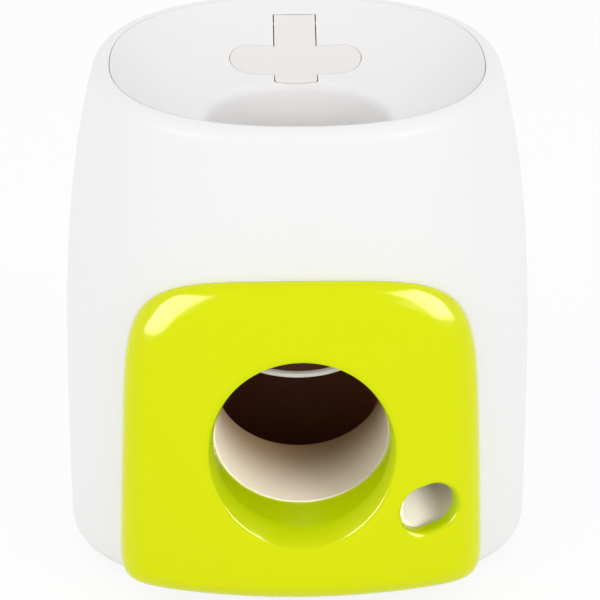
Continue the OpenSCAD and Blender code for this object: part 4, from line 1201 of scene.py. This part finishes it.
@dataclass
class Panel:
    """Lime domed panel: a squarish outline with a rolled edge, a bulging face, and two openings."""

    housing: Housing
    outlet: Outlet
    low: float = 84.3
    high: float = 78.3
    tall: float = 150.7
    z: float = 85.5
    lean: float = math.tan(math.radians(5.5))
    bulge: float = 16.0
    crown: float = 4.0
    roll_r: float = 13.0
    bow: float = 4.7
    square_foot: float = 15.0
    square_head: float = 4.6
    thick: float = 2.6
    side_min: float = 0.8
    corner_pull: float = math.radians(31)
    ease_share: float = 0.9
    around: int = 384
    roll_steps: int = 13
    face_steps: int = 22
    inner_face_steps: int = 6
    inner_roll_steps: int = 7
    meet_steps: int = 7

    @property
    def mid(self) -> float:
        """Half width at mid height."""
        return (self.low + self.high) / 2

    def face(self, x: Array, z: Array) -> Array:
        """Depth of the face: a leaning plane, with a parabola across and a parabola up and down.

        Args:
            x: Sideways place.
            z: Height.

        Returns:
            Depths, as y.
        """
        rise = (np.asarray(z, dtype=float) - self.z) / (self.tall / 2)
        plane = -self.outlet.face_y + (z - self.z) * self.lean
        return plane + self.bulge * (np.asarray(x, dtype=float) / self.mid) ** 2 + self.crown * rise**2

    def angles(self) -> Array:
        """Angles about the panel's middle, drawn towards the corners by a sine of four waves."""
        even = turns(self.around)
        return even + self.corner_pull / 4 * np.sin(4 * even)

    def outline(self, inset: Array) -> Array:
        """Outline at an inset: a squarish oval, tapered upwards, its upper edge bowed down at the ends.

        Args:
            inset: Distance inside the outer edge, per ring.

        Returns:
            Points as rings x around x 2, x and z.
        """
        angle = self.angles()[None, :]
        inset = per_ring(inset)
        power = np.where(np.sin(angle) < 0, self.square_foot, self.square_head)
        p = oval(angle, self.mid - inset, self.tall / 2 - inset, power)
        rise = p[..., 1] / (self.tall / 2)
        taper = 1 + (self.high - self.low) / 2 / self.mid * rise
        bow = self.bow * (p[..., 0] / self.mid) ** 2 * np.maximum(0, rise)
        return np.stack([p[..., 0] * taper, self.z + p[..., 1] - bow], axis=-1)

    def back_rings(self, inset: float) -> Array:
        """Edge that lies on the housing, one seat gap in front of its wall.

        Args:
            inset: Distance inside the outer edge.

        Returns:
            Points as 1 x around x 3.
        """
        p = self.outline([inset])
        x, z = p[..., 0], p[..., 1]
        return np.stack([x, self.housing.front(x, z) - self.housing.seat_gap, z], axis=-1)

    def edge_rings(self, angle: Array, skin: float) -> Array:
        """Rolled edge: a quarter ellipse from the side to the face.

        Its inset falls with the sine of the angle and its depth behind the face with the cosine, and the
        depth is as large as the roll, or less where the panel is thin.

        Args:
            angle: Angle of the roll, per ring; a right angle is the side.
            skin: Distance inside the outer skin.

        Returns:
            Points as rings x around x 3.
        """
        angle = np.asarray(angle, dtype=float)
        p = self.outline(skin + (self.roll_r - skin) * (1 - np.sin(angle)))
        x, z = p[..., 0], p[..., 1]
        rim_x, rim_z = self.outline([0.0])[0].T
        room = self.housing.front(rim_x, rim_z) - self.housing.seat_gap - self.face(rim_x, rim_z)
        depth = np.minimum(self.roll_r, room - self.side_min)[None, :]
        y = self.face(x, z) + skin + (depth - skin) * (1 - np.cos(angle))[:, None]
        return np.stack([x, y, z], axis=-1)

    @property
    def collar_end(self) -> float:
        """Distance along the outlet's axis of the collar's rear end, just in front of the tube."""
        o = self.outlet
        return (o.face_y - o.tube_front) / math.cos(o.slope) - o.seat_gap

    def hole_rings(self, radius: Array, depth: Array, eased: bool = False) -> Array:
        """Edge of the ball outlet: circles carried along its axis to the face, then on by a depth.

        The distance along the axis at which a line meets the curved face is found by repeated substitution.
        An eased depth nears most of the room to the collar's end by an exponential, and never passes it.

        Args:
            radius: Radius about the outlet's axis, as rings x around or rings x 1.
            depth: Distance behind the face, along the axis, in the same form.
            eased: Whether the depth is eased.

        Returns:
            Points as rings x around x 3.
        """
        angle = self.angles()[None, :]
        radius, depth = np.asarray(radius, dtype=float), np.asarray(depth, dtype=float)
        x, up = radius * np.cos(angle), radius * np.sin(angle)
        c, s = math.cos(self.outlet.slope), math.sin(self.outlet.slope)
        along = np.zeros_like(x)
        for _ in range(self.meet_steps):
            z = self.outlet.on_axis(x, up, along)[..., 2]
            along = (self.face(x, z) + self.outlet.face_y + up * s) / c
        room = self.ease_share * (self.collar_end - along)
        return self.outlet.on_axis(x, up, along + (room * (1 - np.exp(-depth / room)) if eased else depth))

    def face_rings(self, share: Array, radius: Array, skin: float) -> Array:
        """Face between the roll and the outlet: straight lines in x and z, laid on the face.

        Args:
            share: Share of the way from the roll to the outlet, per ring.
            radius: Radius of the outlet's mouth, as 1 x around.
            skin: Distance inside the outer skin.

        Returns:
            Points as rings x around x 3.
        """
        hole = self.hole_rings(radius, 0.0)[0][:, [0, 2]]
        p = mix(self.outline([self.roll_r]), hole[None], per_ring(share)[..., None])
        x, z = p[..., 0], p[..., 1]
        return np.stack([x, self.face(x, z) + skin, z], axis=-1)

    def collar_rings(self, radius: Sequence[float]) -> Array:
        """Rear end of the outlet's collar, just in front of the tube."""
        angle, r = self.angles()[None, :], per_ring(radius)
        return self.outlet.on_axis(r * np.cos(angle), r * np.sin(angle), self.collar_end)

    def rings(self) -> Array:
        """All rings: back edge, roll, face, outlet edge, collar, inner face and inner roll.

        Returns:
            Points as rings x around x 3.
        """
        o = self.outlet
        outer, width = o.hole_r + o.hole_wall, o.flare_width(self.angles())[None, :]
        mouth, (out, deep) = o.hole_r + width, (share[:, None] for share in o.flare())
        face, inner = (np.linspace(0, 1, n)[1:-1] for n in (self.face_steps, self.inner_face_steps))
        return np.concatenate(
            [
                self.back_rings(0.0),
                self.edge_rings(arc(self.roll_steps)[::-1], 0.0),
                self.face_rings(face, mouth, 0.0),
                self.hole_rings(o.hole_r + width * out, width * deep, eased=True),
                self.collar_rings([o.hole_r, outer]),
                self.hole_rings([[outer]], width * o.deep_share, eased=True),
                self.hole_rings(mouth, self.thick),
                self.face_rings(inner[::-1], mouth, self.thick),
                self.edge_rings(arc(self.inner_roll_steps), self.thick),
                self.back_rings(self.thick),
            ]
        )

    def build(self, place: Placer, treat: TreatHole) -> bpy.types.Object:
        """Makes the panel with its two openings and the treat outlet's collar.

        Args:
            place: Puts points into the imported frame.
            treat: The treat outlet.

        Returns:
            The panel's object.
        """
        panel = place.solid("lime_front", self.rings(), closed_rows=True)
        place.carve(panel, Cut.JOIN, treat.collar_solid())
        place.carve(panel, Cut.TAKE, treat.cutter())
        finish_piece(panel, Finish.LIME_PANEL, "front_panel", "housing")
        return panel


# Carried-over nodes


@dataclass
class Works:
    """The CAD nodes that are shown as they are, each with the finish of its own name or of its slot."""

    frame: dict[str, Any]
    finishes: dict[str, Finish] = field(default_factory=lambda: {one.value.name: one for one in Finish})

    def dress(self) -> None:
        """Gives every CAD node its own material, or that of its slot in the record."""
        for part in self.frame["record"]["subparts"]:
            node = self.frame["nodes"][part["node"]]
            finish = self.finishes.get(part["node"]) or self.finishes[part["material_slot"]]
            node.data.materials.clear()
            node.data.materials.append(material_of(finish))
            LOG.info("dressed %s in %s", part["node"], finish.value.name)


# Stage


@dataclass(frozen=True)
class Lamp:
    """Soft square lamp that looks at a point."""

    name: str
    at: Colour
    aim: Colour
    size: float
    power: float

    def build(self) -> bpy.types.Object:
        """Makes the lamp.

        Returns:
            The lamp's object.
        """
        data = bpy.data.lights.new(self.name, "AREA")
        data.size = self.size
        data.energy = self.power
        made = add_object(self.name, data)
        made.matrix_world = look_at(Vector(self.at), Vector(self.aim))
        return made


def look_at(at: Vector, aim: Vector) -> Matrix:
    """Placement of a lamp or camera that looks from one point to another, upright."""
    return Matrix.Translation(at) @ (aim - at).to_track_quat("-Z", "Y").to_matrix().to_4x4()


@dataclass
class Studio:
    """Pale floor, white surround, lamps for all or some pieces, and the camera at the photo's angle."""

    middle_y: float
    azimuth: float = math.radians(-1.25)
    elevation: float = math.radians(22.0)
    distance: float = 1.1
    aim_z: float = 0.119
    focal_px: float = 2279.0
    image_px: float = 600.0
    centre_px: tuple[float, float] = (297.2, 294.0)
    sensor: float = 36.0
    floor_size: float = 6.0
    floor_white: float = 0.86
    floor_grain: float = 3.0
    floor_tones: tuple[Colour, Colour] = ((0.94, 0.94, 0.94), (0.96, 0.96, 0.96))
    sky: float = 0.84
    lamps: tuple[Lamp, ...] = (
        Lamp("lamp_right", (1.3, -1.2, 1.05), (0.0, 0.0, 0.12), 0.55, 6.0),
        Lamp("lamp_left", (-1.3, -1.15, 1.0), (0.0, 0.0, 0.12), 0.6, 5.0),
    )
    glints: tuple[Lamp, ...] = (
        Lamp("softbox_left", (-0.92, -0.35, 0.66), (0.0, 0.0, 0.14), 0.85, 75.0),
        Lamp("softbox_right", (0.84, -0.22, 0.72), (0.0, 0.0, 0.14), 0.75, 60.0),
    )
    inner: Lamp = Lamp("inner_key", (0.58, -0.93, 0.24), (-0.02, -0.04, 0.1), 0.42, 10.5)
    bowl: Lamp = Lamp("bowl_key", (0.1, -1.2, 0.75), (0.0, 0.0, 0.22), 0.5, 2.1)
    lip: Lamp = Lamp("lip_key", (0.12, -0.95, 0.04), (0.0, -0.03, 0.12), 0.12, 3.2)

    def camera(self) -> None:
        """Makes the camera and sets it as the scene's."""
        data = bpy.data.cameras.new("camera")
        data.sensor_width = self.sensor
        data.lens = self.focal_px / self.image_px * self.sensor
        half = self.image_px / 2
        data.shift_x = (half - self.centre_px[0]) / self.image_px
        data.shift_y = (self.centre_px[1] - half) / self.image_px
        made = add_object("camera", data)
        aim = Vector((0.0, self.middle_y, self.aim_z))
        c = math.cos(self.elevation)
        back = Vector((math.sin(self.azimuth) * c, -math.cos(self.azimuth) * c, math.sin(self.elevation)))
        made.matrix_world = look_at(aim + back * self.distance, aim)
        bpy.context.scene.camera = made

    def seen(self, graph: Graph) -> Wire:
        """One for camera, glossy and transmission rays, and nought for the rest.

        Args:
            graph: The material's or the world's nodes.

        Returns:
            The share as a wire.
        """
        path = graph.node("ShaderNodeLightPath", {}, {})
        seen = graph.wire(path, "Is Camera Ray").maximum(graph.wire(path, "Is Glossy Ray"))
        return seen.maximum(graph.wire(path, "Is Transmission Ray"))

    def floor(self) -> None:
        """Makes the floor: diffuse for light, mostly plain white to the eye, so that a shadow stays."""
        x, y = self.floor_size / 2 * np.array([[-1, 1, 1, -1], [-1, -1, 1, 1]])
        mesh = bpy.data.meshes.new("floor")
        mesh.from_pydata(np.stack([x, y, 0 * x], axis=-1), [], [(0, 1, 2, 3)])
        made = add_object("floor", mesh)
        material, graph = new_graph("pale_floor")
        grain = graph.noise(graph.place(), self.floor_grain)
        colour = graph.blend(grain, *self.floor_tones)
        matt = graph.node("ShaderNodeBsdfDiffuse", {}, {"Color": colour})
        white = graph.node("ShaderNodeEmission", {}, {"Color": (1.0, 1.0, 1.0, 1.0), "Strength": 1.0})
        graph.surface(
            "ShaderNodeMixShader",
            {0: self.seen(graph) * self.floor_white, 1: matt.outputs[0], 2: white.outputs[0]},
        )
        mesh.materials.append(material)

    def world(self) -> None:
        """Makes the surround: white to the eye, a little dimmer as light."""
        world = bpy.data.worlds.new("surround")
        bpy.context.scene.world = world
        world.use_nodes = True
        graph = Graph(world.node_tree)
        strength = self.sky + (1.0 - self.sky) * self.seen(graph)
        light = graph.node("ShaderNodeBackground", {}, {"Color": (1.0, 1.0, 1.0, 1.0), "Strength": strength})
        graph.node("ShaderNodeOutputWorld", {}, {"Surface": light.outputs[0]})

    def build(self) -> None:
        """Makes the camera, the floor, the surround and the lamps."""
        self.camera()
        self.floor()
        self.world()
        for lamp in self.lamps:
            lamp.build()
        bpy.context.scene.view_settings.view_transform = "Standard"

    def reach(
        self, name: str, pieces: Sequence[bpy.types.Object], lamps: Sequence[Lamp], gloss_only: bool = False
    ) -> None:
        """Makes lamps that reach some pieces only.

        Args:
            name: Name of the group of pieces.
            pieces: The pieces that the lamps reach.
            lamps: The lamps.
            gloss_only: Whether they show as reflections alone.
        """
        reached = bpy.data.collections.new(name)
        for piece in pieces:
            reached.objects.link(piece)
        for lamp in lamps:
            made = lamp.build()
            made.visible_diffuse = not gloss_only
            made.light_linking.receiver_collection = reached


# The whole


def main() -> None:
    """Builds the sub-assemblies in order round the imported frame."""
    logging.basicConfig(level=logging.INFO, format="%(name)s: %(message)s")
    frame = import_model()
    place = Placer()
    studio = Studio(middle_y=float(place.shift[1]))
    studio.build()
    housing, outlet = Housing(), Outlet()
    panel = Panel(housing, outlet)
    treat = TreatHole(panel)
    Works(frame).dress()
    housing.build(place, outlet, treat)
    bowl = Dish(housing).build(place)
    front = panel.build(place, treat)
    nodes = frame["nodes"]
    studio.reach("glossy_pieces", [front], studio.glints, gloss_only=True)
    studio.reach("bowl_pieces", bowl, [studio.bowl])
    studio.reach("inner_pieces", [nodes["outlet_tube"], nodes["treat_chute"]], [studio.inner])
    studio.reach("edge_pieces", [nodes["paddle_lip"]], [studio.lip])


if __name__ == "__main__":
    main()
